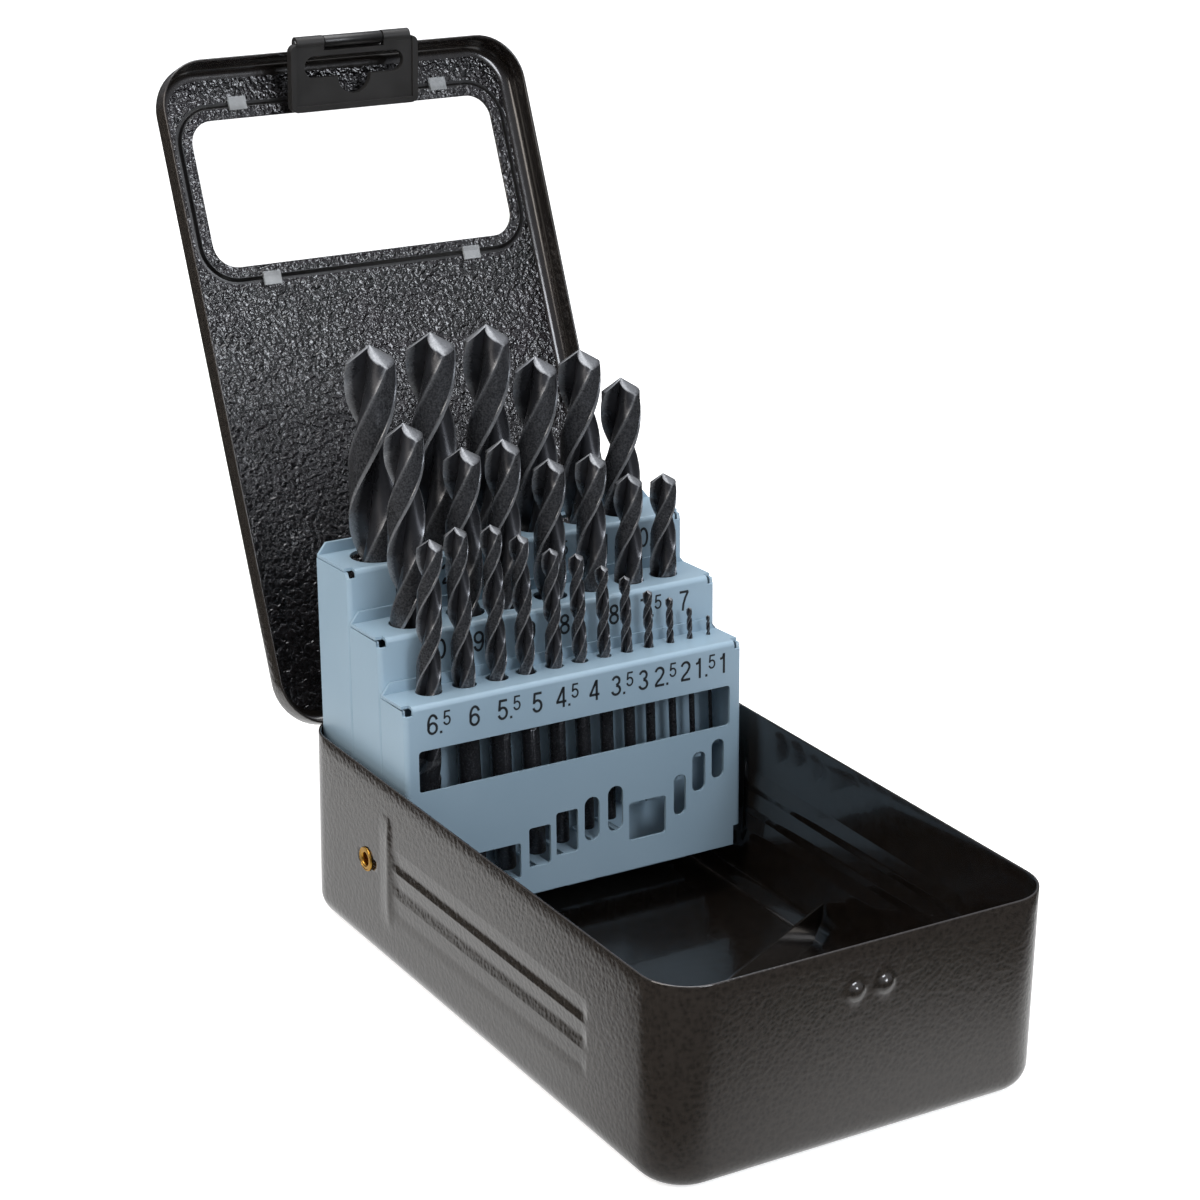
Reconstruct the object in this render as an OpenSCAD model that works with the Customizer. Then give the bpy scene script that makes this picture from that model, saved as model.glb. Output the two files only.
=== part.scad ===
// Drill bit case: a pressed steel box for 25 twist drills, 1 to 13 mm by half millimetres.
// The lid is open, the stepped rack stands up and the latch hangs down, as in the photograph.
// Frame: X to the right, Y to the rear, Z up, origin under the middle of the base.

/* [Base] */
// Outer width of the base
body_w = 106; // [104:1:120]
// Outer length of the base, front to rear
body_l = 175; // [174:1:190]
// Height of the base's rim
body_h = 51; // [50:0.5:56]
// Thickness of the pressed sheet of base and lid
sheet = 0.7; // [0.5:0.1:0.9]
// Outer radius of the base's upright corners
corner_r = 12; // [9:0.5:16]
// Outer radius of the base's bottom edge
bottom_r = 6; // [3:0.5:7]
// Depth of the grooves pressed into the side walls
groove_depth = 0.55; // [0.3:0.05:0.7]
// Number of grooves on each side wall
groove_count = 4; // [2:1:4]
// Distance between two grooves
groove_pitch = 6.3; // [5:0.1:6.5]
// Height of the lowest groove
groove_low = 16; // [13:0.5:18]
// Distance from the front wall to the grooves' front ends
groove_front = 33.5; // [26:0.5:36]
// Distance from the grooves' rear ends to the crease that stops the panel
crease_gap = 2.3; // [2:0.1:3]
// Distance from the rack's pivot forward to that crease
panel_rear = 10.9; // [9:0.1:14]
// Height of the folded plate that stands across the floor
stop_h = 10; // [8:0.5:12]
// Length of that plate's foot
stop_foot = 6; // [4:0.5:8]
// Distance from the rack's pivot forward to the plate's right end
stop_right = 51.7; // [50:0.1:56]
// Distance from the rack's pivot forward to the plate's left end
stop_left = 105.2; // [95:0.2:110]
// Radius of the two catch dimples on the front wall
dimple_r = 2.4; // [1.8:0.1:2.8]
// Height of the dimples over the wall
dimple_h = 1.6; // [1.2:0.1:1.6]
// Distance between the dimples
dimple_pitch = 8; // [6:0.5:9]

/* [Lid] */
// Depth of the lid's tray
lid_depth = 8.6; // [8.6:0.1:12]
// Outer radius of the edge between the lid's top and its flange
lid_edge_r = 3.5; // [2:0.5:5]
// Overlap of the lid's flange over the base's rim
lid_lap = 2; // [1:0.5:3]
// Gap between the lid's flange and the base's wall
lid_gap = 0.4; // [0.3:0.05:0.6]
// Opening angle of the lid
lid_open = 114; // [95:1:116]
// Distance from the lid's sides to the window opening
window_side = 9.1; // [8.8:0.1:20]
// Length of the window opening
window_l = 39.4; // [25:0.2:42]
// Distance from the lid's front to the window opening
window_front = 14.9; // [13:0.1:20]
// Corner radius of the window opening
window_r = 6.5; // [4:0.5:10]
// Width of the recessed border that takes the pane
border_w = 3.6; // [3:0.1:4]
// Depth of that recess
border_depth = 0.8; // [0.6:0.1:1]
// Thickness of the clear pane
pane_t = 0.8; // [0.6:0.1:1]
// Distance from the window's sides to the middle of the pane's hooks
hook_side = 14.8; // [12:0.2:25]
// Width of one hook
hook_w = 5; // [4:0.2:7]
// Thickness of a hook's stem
hook_t = 1.2; // [0.8:0.1:1.4]
// Reach of a hook's barb outwards from its stem
hook_reach = 2.4; // [1.5:0.1:3]

/* [Hinge] */
// Radius of the lid hinge's pin
pin_r = 1.1; // [0.9:0.05:1.2]
// Outer radius of the hinge's rolled knuckles
knuckle_r = 1.9; // [1.8:0.05:2.1]
// Distance of the hinge's axis below the base's rim
hinge_drop = 4.6; // [4.5:0.1:6]
// Length of the whole hinge
hinge_w = 60; // [45:1:76]
// Length of the gap between two knuckles
knuckle_gap = 0.4; // [0.3:0.1:0.6]
// Height of the hinge leaf on the rear wall
leaf_h = 14; // [10:0.5:18]

/* [Latch] */
// Width of the moulded latch plate
latch_w = 38; // [36:0.5:44]
// Length of the latch from its pin to its free edge
latch_l = 18; // [17:0.5:19.5]
// Thickness of the latch plate
latch_t = 1.8; // [1.5:0.1:2]
// Height of the latch's raised border
latch_rim = 0.6; // [0.4:0.1:0.8]
// Offset of the latch from the middle of the lid
latch_x = 2; // [0:0.5:3]
// Radius of the latch's barrels
barrel_r = 1.8; // [1.6:0.05:1.9]
// Radius of the latch's pin
latch_pin_r = 0.8; // [0.6:0.05:0.9]
// Width of the rolled tongue on the lid that holds the pin
curl_w = 17.2; // [12:0.5:18]
// Outer radius of the rolled tongue
curl_r = 1.7; // [1.5:0.05:1.8]
// Distance of the latch's axis below the lid's lip
latch_drop = 3; // [2.8:0.1:4]
// Half width of the latch's slot
slot_half = 14.8; // [12:0.2:15.5]
// Radius of the round notch in the slot's lower edge
notch_r = 4.9; // [4:0.1:5.5]

/* [Rack] */
// Gap between the rack and the base's side walls
side_gap = 3; // [2.6:0.1:4]
// Thickness of the rack's sheet
rack_t = 0.8; // [0.6:0.1:1]
// Outer radius of the bends
bend_r = 1.4; // [1.1:0.1:1.8]
// Distance of the pivot's axis from the rear wall's outside
pivot_back = 35.3; // [35.3:0.1:40]
// Height of the pivot's axis
pivot_z = 26.4; // [26:0.1:27.2]
// Angle by which the upright rack leans to the rear
rack_lean = 2.5; // [0:0.5:4]
// Distance from the pivot forward to the front tier's plate
reach_front = 16.1; // [15.6:0.1:17]
// Depth of the front tier
depth_front = 12.7; // [12.2:0.1:13]
// Depth of the middle tier
depth_middle = 15.7; // [14.8:0.1:15.8]
// Depth of the rear tier
depth_rear = 17.3; // [17.1:0.1:17.4]
// Height of the front tier's top over the pivot
top_front = 44; // [42:0.5:46]
// Height of the middle tier's top over the pivot
top_middle = 58.2; // [56:0.2:60]
// Height of the rear tier's top over the pivot
top_rear = 71.8; // [69:0.2:74]
// Distance from the pivot down to the front tier's lower edge
foot_front = 12.6; // [11:0.1:13]
// Distance from the pivot down to the middle tier's lower edge
foot_middle = 19; // [18:0.1:20]
// Distance from the pivot down to the floor plate's upper face
foot_floor = 21.6; // [20.5:0.1:21.6]
// Height of the lip at the rear of each tier's top
lip_h = 2.8; // [2:0.1:3.5]
// Gap of a drill in its hole, on the diameter
hole_play = 0.3; // [0.2:0.05:0.5]
// Height of the long window in the front plate
view_h = 11; // [8:0.5:12]
// Distance from the front tier's top down to the long window
view_drop = 11.8; // [11:0.1:13]
// Distance from the rack's sides to the ends of the long window
view_side = 3.6; // [3:0.1:8]

/* [Pivots] */
// Outer radius of the eyelets' tubes
eyelet_r = 2; // [1.7:0.05:2.1]
// Wall of the eyelets' tubes
eyelet_t = 0.3; // [0.2:0.05:0.4]
// Radius of the eyelets' flanges
eyelet_flange = 3.2; // [2.9:0.1:3.6]
// Radial running clearance of the pivots and pins
run_gap = 0.05; // [0.03:0.01:0.08]

/* [Drills] */
// Helix angle of the flutes
helix = 30; // [25:1:35]
// Point angle of the drills
point = 118; // [110:1:135]

/* [Hidden] */
$fn = 48;
e = 0.01;

// Drills of each row: diameter, overall length, flute length
ROW_FRONT = [[6.5, 99.5, 62], [6, 92.5, 56], [5.5, 91.5, 56], [5, 85.5, 51.5], [4.5, 79, 46.5],
             [4, 74.5, 42.5], [3.5, 69, 38.5], [3, 61, 33], [2.5, 56, 29.5], [2, 49, 24],
             [1.5, 40, 18], [1, 34, 12]];
ROW_MIDDLE = [[10, 131, 86], [9.5, 122.5, 79.5], [9, 123, 80], [8.5, 116, 74.5], [8, 115.5, 74],
              [7.5, 108.5, 69], [7, 107, 68]];
ROW_REAR = [[13, 147.5, 99.5], [12.5, 148.5, 99.5], [12, 148.5, 99.5], [11.5, 138.5, 92],
            [11, 138.5, 92], [10.5, 129.5, 85]];
// Places across a rack of this half width, which a wider rack spreads
PLACE_HALF = 49.3;
X_FRONT = [-38, -28, -18.6, -10.2, -2, 5.6, 12.8, 19.6, 26.2, 32.8, 38.8, 44.5];
X_MIDDLE = [-36.4, -20.4, -8.8, 4.4, 16.8, 28, 38.6];
X_REAR = [-37, -20, -4, 10, 23.2, 35.6];
// Heights of the front drills' shank ends over the pivot
SHELF = [-16.6, -7.6, -7.6, -5.4, -3.9, -2, -0.9, 3.2, 3.2, 7.2, 12.4, 15.2];
// Sideways lean of the front drills in their holes, in degrees
LEAN = [2, -2.2, -1.6, -2.6, -1.6, -2, -1.6, -2, -1.5, -2, -2, -2];

// Slots of the front plate: left side, right side, lower side, upper side, corner radius
SLOTS = [[-44, -17.4, SHELF[1], 2, 0.8], [-15, -8.6, SHELF[3], 5.3, 0.8],
         [-7, -0.5, SHELF[4], 7.8, 0.8], [1.4, 5.9, SHELF[5], 10, 2.2],
         [8.4, 13, SHELF[6], 11.5, 2.2], [14.7, 26, -4.6, 5.9, 1],
         [28.4, 32.2, -0.6, 10.6, 1.8], [34.1, 38.2, 4.8, 15.7, 1.8], [40.1, 44, 7.2, 18, 1.8]];

// Base and lid
groove_half = 1.1;
crease_half = 0.9;
crease_end = 7.6;
stop_play = 0.3;
dimple_ball = (dimple_r * dimple_r + dimple_h * dimple_h) / (2 * dimple_h);
front_y = -body_l / 2;
rear_y = body_l / 2;
inner_w = body_w - 2 * sheet;
rack_w = inner_w - 2 * side_gap;
rack_x = rack_w / 2;
pivot_y = rear_y - pivot_back;
groove_start = front_y + groove_front;
groove_end = pivot_y - panel_rear - crease_gap;
lid_w = body_w + 2 * (lid_gap + sheet);
lid_l = body_l + 2 * (lid_gap + sheet);
lid_r = corner_r + lid_gap + sheet;
lip_z = body_h - lid_lap;
top_z = lip_z + lid_depth;
window_w = lid_w - 2 * window_side;
window_y = -lid_l / 2 + window_front + window_l / 2;
seat_w = window_w + 2 * border_w;
seat_l = window_l + 2 * border_w;
seat_z = top_z - border_depth;
pane_play = 0.3;
hook_x = window_w / 2 - hook_side;
hook_y = seat_l / 2 - pane_play - hook_t / 2;

// Hinge, with its knuckles tangent to the lid's flange
hinge_y = rear_y + lid_gap + knuckle_r;
hinge_z = body_h - hinge_drop;
knuckle_n = 5;
knuckle_pitch = hinge_w / knuckle_n;

// Latch, with its tongue rolled outwards from the lid's flange
latch_y = front_y - lid_gap - curl_r;
latch_z = lip_z - latch_drop;
dimple_z = latch_z - 6.3;
slot_top = 3.4;
slot_low = 9.2;
latch_back = 0.3;

// Rack
face_front = -reach_front;
face_middle = face_front + depth_front;
face_rear = face_middle + depth_middle;
back_rear = face_rear + depth_rear;
row_front = face_middle - 4.2;
row_middle = face_middle + 8.3;
row_rear = face_rear + 8.3;
relief = 0.9;
tab_t = rack_t;
floor_front = face_middle + 6.4;
floor_back = back_rear - 4.2;
floor_w = rack_w - 9.6;
tab_left = 2.6;
tab_right = 0.3;
function place(x) = x * rack_x / PLACE_HALF;
front_x = [for (x = X_FRONT) place(x)];
middle_x = [for (x = X_MIDDLE) place(x)];
rear_x = [for (x = X_REAR) place(x)];
// The rack's lower rear corners swing inside the base's round upright corners
swing_gap = 0.4;
corner_in = corner_r - sheet;
corner_dx = rack_x - inner_w / 2 + corner_in;
swing_r = pivot_back - corner_r + sqrt(pow(corner_in, 2) - pow(corner_dx, 2)) - swing_gap;
// The eyelets' rolled ends stay clear of the middle tier's bends
eyelet_roll = 0.3;
eyelet_play = 0.25;

// Half the angle of a drill's land, and the shares of the diameter of its web and fluted body
DRILL_LAND = 38;
DRILL_WEB = 0.22;
DRILL_BODY = 0.985;
// Points on a land and points in a flute, and the twist of one slice
LAND_POINTS = 3;
GROOVE_POINTS = 3;
FLUTE_POINTS = 2 * (LAND_POINTS + GROOVE_POINTS);
SLICE = 32;

function drill_name(d) = str("drill_", floor(d), "_", round(10 * (d - floor(d))));

// ---- Places ----

// Turns the closed lid's parts to the open lid's place
module on_lid() {
    translate([0, hinge_y, hinge_z])
        rotate([-lid_open, 0, 0])
            translate([0, -hinge_y, -hinge_z])
                children();
}

// Puts the latch's parts, drawn about their pin, at the open lid's tongue
module at_latch() {
    dy = latch_y - hinge_y;
    dz = latch_z - hinge_z;
    translate([latch_x,
               hinge_y + dy * cos(lid_open) + dz * sin(lid_open),
               hinge_z - dy * sin(lid_open) + dz * cos(lid_open)])
        children();
}

// Puts the rack's parts, drawn about the pivot's axis, in the base
module on_rack() {
    translate([0, pivot_y, pivot_z])
        rotate([-rack_lean, 0, 0])
            children();
}

// ---- Sheet metal shapes ----

module round_rect(w, l, r) {
    for (x = [-1, 1], y = [-1, 1])
        translate([x * (w / 2 - r), y * (l / 2 - r)])
            circle(r);
    square([w - 2 * r, l], center = true);
    square([w, l - 2 * r], center = true);
}

// Section of a tray's wall, edge and floor, out to the radius r of its upright corner
module tray_section(h, r, edge, t) {
    square([r - edge, t]);
    translate([r - t, edge])
        square([t, h - edge]);
    translate([r - edge, edge])
        intersection() {
            difference() {
                circle(edge);
                circle(edge - t);
            }
            translate([0, -edge])
                square([edge, edge]);
        }
}

// Open tray, pressed from sheet, with round corners and a round bottom edge
module tray(w, l, h, r, edge, t) {
    for (i = [0 : 3])
        rotate([0, 0, 90 * i]) {
            a = (i % 2 == 0) ? w : l;
            b = (i % 2 == 0) ? l : w;
            translate([a / 2 - r, b / 2 - r, 0])
                rotate_extrude(angle = 90)
                    tray_section(h, r, edge, t);
            translate([a / 2 - r, b / 2 - r, 0])
                rotate([90, 0, 0])
                    linear_extrude(b - 2 * r)
                        tray_section(h, r, edge, t);
        }
    translate([0, 0, t / 2])
        cube([w - 2 * r, l - 2 * r, t], center = true);
}

// A straight V pressed into a wall: takes sheet from one face and adds it to the other
module crease_bar(len, half, depth) {
    rotate([90, 0, 0])
        linear_extrude(len, center = true)
            polygon([[0, -half], [depth, 0], [0, half]]);
}

// ---- Base ----

module side_creases(x) {
    for (i = [0 : groove_count - 1])
        translate([x, (groove_start + groove_end) / 2, groove_low + i * groove_pitch])
            crease_bar(groove_end - groove_start, groove_half, groove_depth);
}

module base_shell() {
    color("#3a3431")
    difference() {
        union() {
            tray(body_w, body_l, body_h, corner_r, bottom_r, sheet);
            for (s = [0, 1])
                mirror([s, 0, 0])
                    side_creases(-inner_w / 2 - e);
            for (x = [-1, 1])
                intersection() {
                    translate([x * dimple_pitch / 2, front_y + dimple_ball - dimple_h, dimple_z])
                        sphere(dimple_ball);
                    translate([0, front_y, dimple_z])
                        cube([4 * dimple_r + dimple_pitch, 2 * dimple_h + e, 3 * dimple_r],
                             center = true);
                }
            for (s = [0, 1])
                mirror([s, 0, 0])
                    crease_upright(-body_w / 2 + e, -groove_depth);
        }
        for (s = [0, 1])
            mirror([s, 0, 0]) {
                side_creases(-body_w / 2 - e);
                crease_upright(-inner_w / 2 + e, -groove_depth);
            }
        for (x = [-1, 1])
            translate([x * dimple_pitch / 2, front_y + dimple_ball - dimple_h, dimple_z])
                sphere(dimple_ball - 0.8 * sheet);
        translate([0, pivot_y, pivot_z])
            rotate([0, 90, 0])
                cylinder(h = 2 * body_w, r = eyelet_r + run_gap, center = true);
    }
}

// The upright crease between the grooved panel and the plain wall about the eyelet
module crease_upright(x, depth) {
    low = groove_low - crease_end / 2;
    high = groove_low + (groove_count - 1) * groove_pitch + crease_end;
    translate([x, pivot_y - panel_rear, low])
        linear_extrude(high - low)
            polygon([[0, -crease_half], [depth, 0], [0, crease_half]]);
}

// Folded plate across the floor: it runs along the folded short drills' points
module stop_plate() {
    half = inner_w / 2 - groove_depth - stop_play;
    turn = atan2(stop_left - stop_right, 2 * half);
    len = 2 * half / cos(turn);
    color("#2b2726")
    translate([0, pivot_y - (stop_right + stop_left) / 2, sheet])
        intersection() {
            rotate([0, 0, turn])
                union() {
                    translate([-len / 2 - stop_foot, 0, 0])
                        cube([len + 2 * stop_foot, sheet, stop_h]);
                    translate([-len / 2 + bottom_r, -stop_foot, 0])
                        cube([len - 2 * bottom_r, stop_foot + e, sheet]);
                }
            rotate([90, 0, 0])
                linear_extrude(body_l, center = true)
                    stop_outline(half);
        }
}

// Front view of the plate: its lower corners clear the base's round bottom edge
module stop_outline(half) {
    foot = inner_w / 2 - bottom_r;
    polygon([[-foot, 0], [foot, 0], [half, bottom_r], [half, stop_h], [-half, stop_h],
             [-half, bottom_r]]);
}

// ---- Hinge ----

module knuckle(len) {
    rotate([0, 90, 0])
        difference() {
            cylinder(h = len, r = knuckle_r, center = true);
            cylinder(h = len + 1, r = pin_r + run_gap, center = true);
        }
}

// Middle of knuckle number i across the hinge
function knuckle_x(i) = (i - (knuckle_n - 1) / 2) * knuckle_pitch;

module hinge_leaf() {
    len = knuckle_pitch - knuckle_gap;
    low = hinge_z - leaf_h;
    top = hinge_z - knuckle_r - 0.5;
    color("#3a3431")
    difference() {
        union() {
            translate([-hinge_w / 2 + knuckle_gap / 2, rear_y, low])
                cube([hinge_w - knuckle_gap, sheet, top - low]);
            for (i = [0 : 2 : knuckle_n - 1]) {
                translate([knuckle_x(i) - len / 2, rear_y, top - e])
                    cube([len, sheet, hinge_z - top]);
                translate([knuckle_x(i), hinge_y, hinge_z])
                    knuckle(len);
            }
        }
        translate([0, hinge_y, hinge_z])
            rotate([0, 90, 0])
                cylinder(h = hinge_w + 1, r = pin_r + run_gap, center = true);
    }
}

module hinge_pin() {
    color("#b9bcbe")
    translate([0, hinge_y, hinge_z])
        rotate([0, 90, 0])
            cylinder(h = hinge_w + 1, r = pin_r, center = true);
}

// ---- Lid, drawn closed ----

module lid_shell() {
    len = knuckle_pitch - knuckle_gap;
    color("#332e2c")
    on_lid()
        difference() {
            union() {
                translate([0, 0, top_z])
                    mirror([0, 0, 1])
                        tray(lid_w, lid_l, lid_depth, lid_r, lid_edge_r, sheet);
                translate([0, window_y, seat_z - sheet])
                    linear_extrude(border_depth + e)
                        round_rect(seat_w + 2 * sheet, seat_l + 2 * sheet, window_r + border_w);
                translate([latch_x, latch_y, latch_z])
                    rotate([0, 90, 0])
                        cylinder(h = curl_w, r = curl_r, center = true);
                translate([latch_x - curl_w / 2, front_y - lid_gap - sheet, latch_z])
                    cube([curl_w, sheet, latch_drop + e]);
                for (i = [1 : 2 : knuckle_n - 1]) {
                    translate([knuckle_x(i), hinge_y, hinge_z])
                        rotate([0, 90, 0])
                            cylinder(h = len, r = knuckle_r, center = true);
                    translate([knuckle_x(i) - len / 2, rear_y + lid_gap, hinge_z])
                        cube([len, sheet, lip_z - hinge_z + e]);
                }
            }
            translate([0, window_y, seat_z])
                linear_extrude(border_depth + 1)
                    round_rect(seat_w, seat_l, window_r + border_w - sheet);
            translate([0, window_y, seat_z - 3])
                linear_extrude(4)
                    round_rect(window_w, window_l, window_r);
            hook_places()
                translate([0, 0, seat_z - 1])
                    cube([hook_w + 2 * pane_play, hook_t + 2 * pane_play, 4], center = true);
            translate([latch_x, latch_y, latch_z])
                rotate([0, 90, 0])
                    cylinder(h = curl_w + 1, r = latch_pin_r + run_gap, center = true);
            translate([0, hinge_y, hinge_z])
                rotate([0, 90, 0])
                    cylinder(h = hinge_w + 1, r = pin_r + run_gap, center = true);
        }
}

// The four hooks, two at the window's front edge and two at its rear edge, barb outwards
module hook_places() {
    for (x = [-1, 1], s = [0, 1])
        translate([x * hook_x, window_y, 0])
            mirror([0, s, 0])
                translate([0, -hook_y, 0])
                    children();
}

module window_pane() {
    color("#dfe8ec", 0.35)
    on_lid() {
        translate([0, window_y, seat_z])
            linear_extrude(pane_t)
                round_rect(seat_w - 2 * pane_play, seat_l - 2 * pane_play,
                           window_r + border_w - sheet - pane_play);
        hook_places() {
            translate([-hook_w / 2, -hook_t / 2, seat_z - sheet - tab_t])
                cube([hook_w, hook_t, sheet + tab_t + e]);
            translate([-hook_w / 2, -hook_t / 2 - hook_reach, seat_z - sheet - tab_t])
                cube([hook_w, hook_reach + e, tab_t]);
        }
    }
}

// ---- Latch, drawn hanging from its pin ----

module latch_pin() {
    color("#9b9c9e")
    at_latch()
        rotate([0, 90, 0])
            cylinder(h = latch_w - 4, r = latch_pin_r, center = true);
}

module latch_outline() {
    shoulder = 2.4;
    translate([0, -latch_l / 2])
        round_rect(latch_w, latch_l, 2);
    translate([-(latch_w - 2 * shoulder) / 2, -2])
        square([latch_w - 2 * shoulder, 2]);
}

module latch_slot() {
    slot_h = slot_low - slot_top;
    translate([0, -(slot_top + slot_low) / 2])
        round_rect(2 * slot_half, slot_h, slot_h / 2 - e);
    translate([0, -slot_low + e])
        circle(notch_r);
}

module latch() {
    color("#2c2b2a")
    at_latch()
        difference() {
            union() {
                translate([0, latch_back, 0])
                    rotate([90, 0, 0])
                        linear_extrude(latch_t)
                            difference() {
                                latch_outline();
                                latch_slot();
                            }
                translate([0, latch_back - latch_t + e, 0])
                    rotate([90, 0, 0])
                        linear_extrude(latch_rim)
                            difference() {
                                latch_outline();
                                translate([0, -latch_l / 2 + 1.6])
                                    square([latch_w - 3.2, latch_l], center = true);
                            }
                for (x = [-1, 1])
                    translate([x * (curl_w / 2 + 0.3 + 4), 0, 0])
                        rotate([0, 90, 0])
                            cylinder(h = 8, r = barrel_r, center = true);
            }
            cube([curl_w + 0.6, 8, 2 * curl_r + 0.8], center = true);
            rotate([0, 90, 0])
                cylinder(h = latch_w - 4 + 0.6, r = latch_pin_r + run_gap, center = true);
        }
}

// ---- Rack, drawn upright about the pivot ----

// Section of a tier's front plate, top and rear lip, seen from the right side
module tier_section(face, top, depth, low) {
    translate([face, low])
        square([rack_t, top - bend_r - low]);
    translate([face + bend_r, top - bend_r])
        intersection() {
            difference() {
                circle(bend_r);
                circle(bend_r - rack_t);
            }
            translate([-bend_r, 0])
                square([bend_r, bend_r]);
        }
    translate([face + bend_r, top - rack_t])
        square([depth - bend_r, rack_t]);
}

// A side plate with its front bend, seen from above
module side_section(face, depth) {
    translate([rack_x - rack_t, face + bend_r])
        square([rack_t, depth - bend_r]);
    translate([rack_x - bend_r, face + bend_r])
        intersection() {
            difference() {
                circle(bend_r);
                circle(bend_r - rack_t);
            }
            translate([0, -bend_r])
                square([bend_r, bend_r]);
        }
}

// Extrudes a section in Y and Z over the width w, centred on X
module across(w) {
    rotate([90, 0, 90])
        linear_extrude(w, center = true)
            children();
}

// Folded sheet tier: front plate, top with its rear lip, and two side plates
module tier(face, top, depth, low, side_low) {
    inset = bend_r + relief;
    across(rack_w - 2 * inset)
        tier_section(face, top, depth, low);
    for (s = [0, 1])
        mirror([s, 0, 0]) {
            translate([rack_x - inset - e, face, side_low])
                cube([relief + 2 * e, rack_t, top - bend_r - relief - side_low]);
            translate([0, 0, side_low])
                linear_extrude(top - bend_r - relief - side_low)
                    side_section(face, depth);
            translate([rack_x - inset - e, face + bend_r + relief, top - rack_t])
                cube([inset - 0.2, depth - bend_r - relief, rack_t]);
        }
    translate([0, face + depth, 0])
        rotate([90, 0, 0])
            linear_extrude(rack_t)
                lip_outline(top);
}

// The lip stands up at the rear of the top, with cut corners
module lip_outline(top) {
    half = rack_x - 0.2;
    cut = 0.8 * lip_h;
    polygon([[-half, top - rack_t], [half, top - rack_t], [half, top], [half - cut, top + lip_h],
             [cut - half, top + lip_h], [-half, top]]);
}

module drill_holes(row, xs, y, top) {
    for (i = [0 : len(row) - 1])
        translate([xs[i], y, top])
            cylinder(h = 6, d = row[i][0] + hole_play, center = true);
}

// Shelf that carries the end of one front drill: a tab bent in from a plate
module shelf_tab(x, w, y0, y1, z) {
    translate([x - w / 2, y0, z - tab_t])
        cube([w, y1 - y0, tab_t]);
}

module plate_slots(face) {
    translate([0, face + 2 * rack_t, 0])
        rotate([90, 0, 0])
            linear_extrude(4 * rack_t)
                union() {
                    translate([0, top_front - view_drop - view_h / 2])
                        round_rect(rack_w - 2 * view_side, view_h, 1);
                    for (s = SLOTS)
                        translate([place(s[0] + s[1]) / 2, (s[2] + s[3]) / 2])
                            round_rect(place(s[1] - s[0]), s[3] - s[2], s[4]);
                }
}

module rack_front_tier() {
    tab_back = row_front + 2.6;
    side_low = -foot_front + 5.4;
    color("#8fa6b5")
    on_rack() {
        difference() {
            tier(face_front, top_front, depth_front, -foot_front, side_low);
            drill_holes(ROW_FRONT, front_x, row_front, top_front);
            plate_slots(face_front);
        }
        for (i = [0 : 4]) {
            left = max(place(SLOTS[i][0]) + tab_left, front_x[0] + ROW_FRONT[0][0] / 2 + 1);
            right = place(SLOTS[i][1]) - tab_right;
            shelf_tab((left + right) / 2, right - left, face_front + rack_t / 2, tab_back,
                      SLOTS[i][2]);
        }
    }
}

module rack_middle_tier() {
    side_low = -foot_middle + 4;
    tab_front = row_front - 2.2;
    color("#8fa6b5")
    on_rack()
        difference() {
            union() {
                tier(face_middle, top_middle, depth_middle, -foot_middle, side_low);
                shelf_tab(front_x[0], ROW_FRONT[0][0], tab_front, face_middle + e, SHELF[0]);
                for (i = [7 : len(front_x) - 1])
                    shelf_tab(front_x[i], 4.2, tab_front, face_middle + e, SHELF[i]);
            }
            drill_holes(ROW_MIDDLE, middle_x, row_middle, top_middle);
            rotate([0, 90, 0])
                cylinder(h = 2 * rack_w, r = eyelet_r + run_gap, center = true);
        }
}

module rack_rear_tier() {
    side_low = -foot_floor + 5;
    color("#8fa6b5")
    on_rack()
        difference() {
            tier(face_rear, top_rear, depth_rear, -foot_floor, side_low);
            drill_holes(ROW_REAR, rear_x, row_rear, top_rear);
            difference() {
                translate([-rack_w, 0, -2 * foot_floor])
                    cube([2 * rack_w, 2 * back_rear, 2 * foot_floor]);
                rotate([0, 90, 0])
                    cylinder(h = 4 * rack_w, r = swing_r, center = true);
            }
        }
}

module rack_floor_plate() {
    color("#8fa6b5")
    on_rack()
        translate([-floor_w / 2, floor_front, -foot_floor - rack_t])
            cube([floor_w, floor_back - floor_front, rack_t]);
}

// ---- Pivots ----

// Flanged tube through base wall, spacer and rack, on the right side
module eyelet() {
    flange_t = 0.5;
    out_x = body_w / 2;
    in_x = rack_x - rack_t - eyelet_play;
    rotate([0, 90, 0])
        difference() {
            union() {
                translate([0, 0, in_x - flange_t])
                    cylinder(h = out_x - in_x + 2 * flange_t, r = eyelet_r);
                translate([0, 0, out_x])
                    cylinder(h = flange_t, r = eyelet_flange);
                translate([0, 0, in_x - flange_t])
                    cylinder(h = flange_t, r = eyelet_r + eyelet_roll);
            }
            cylinder(h = body_w, r = eyelet_r - eyelet_t);
        }
}

module spacer() {
    play = 0.1;
    rotate([0, 90, 0])
        translate([0, 0, rack_x + play])
            difference() {
                cylinder(h = side_gap - 2 * play, r = eyelet_flange + 1);
                translate([0, 0, -1])
                    cylinder(h = side_gap + 2, r = eyelet_r + run_gap);
            }
}

module at_pivot(s) {
    translate([0, pivot_y, pivot_z])
        mirror([s, 0, 0])
            children();
}

// ---- Drills ----

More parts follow.
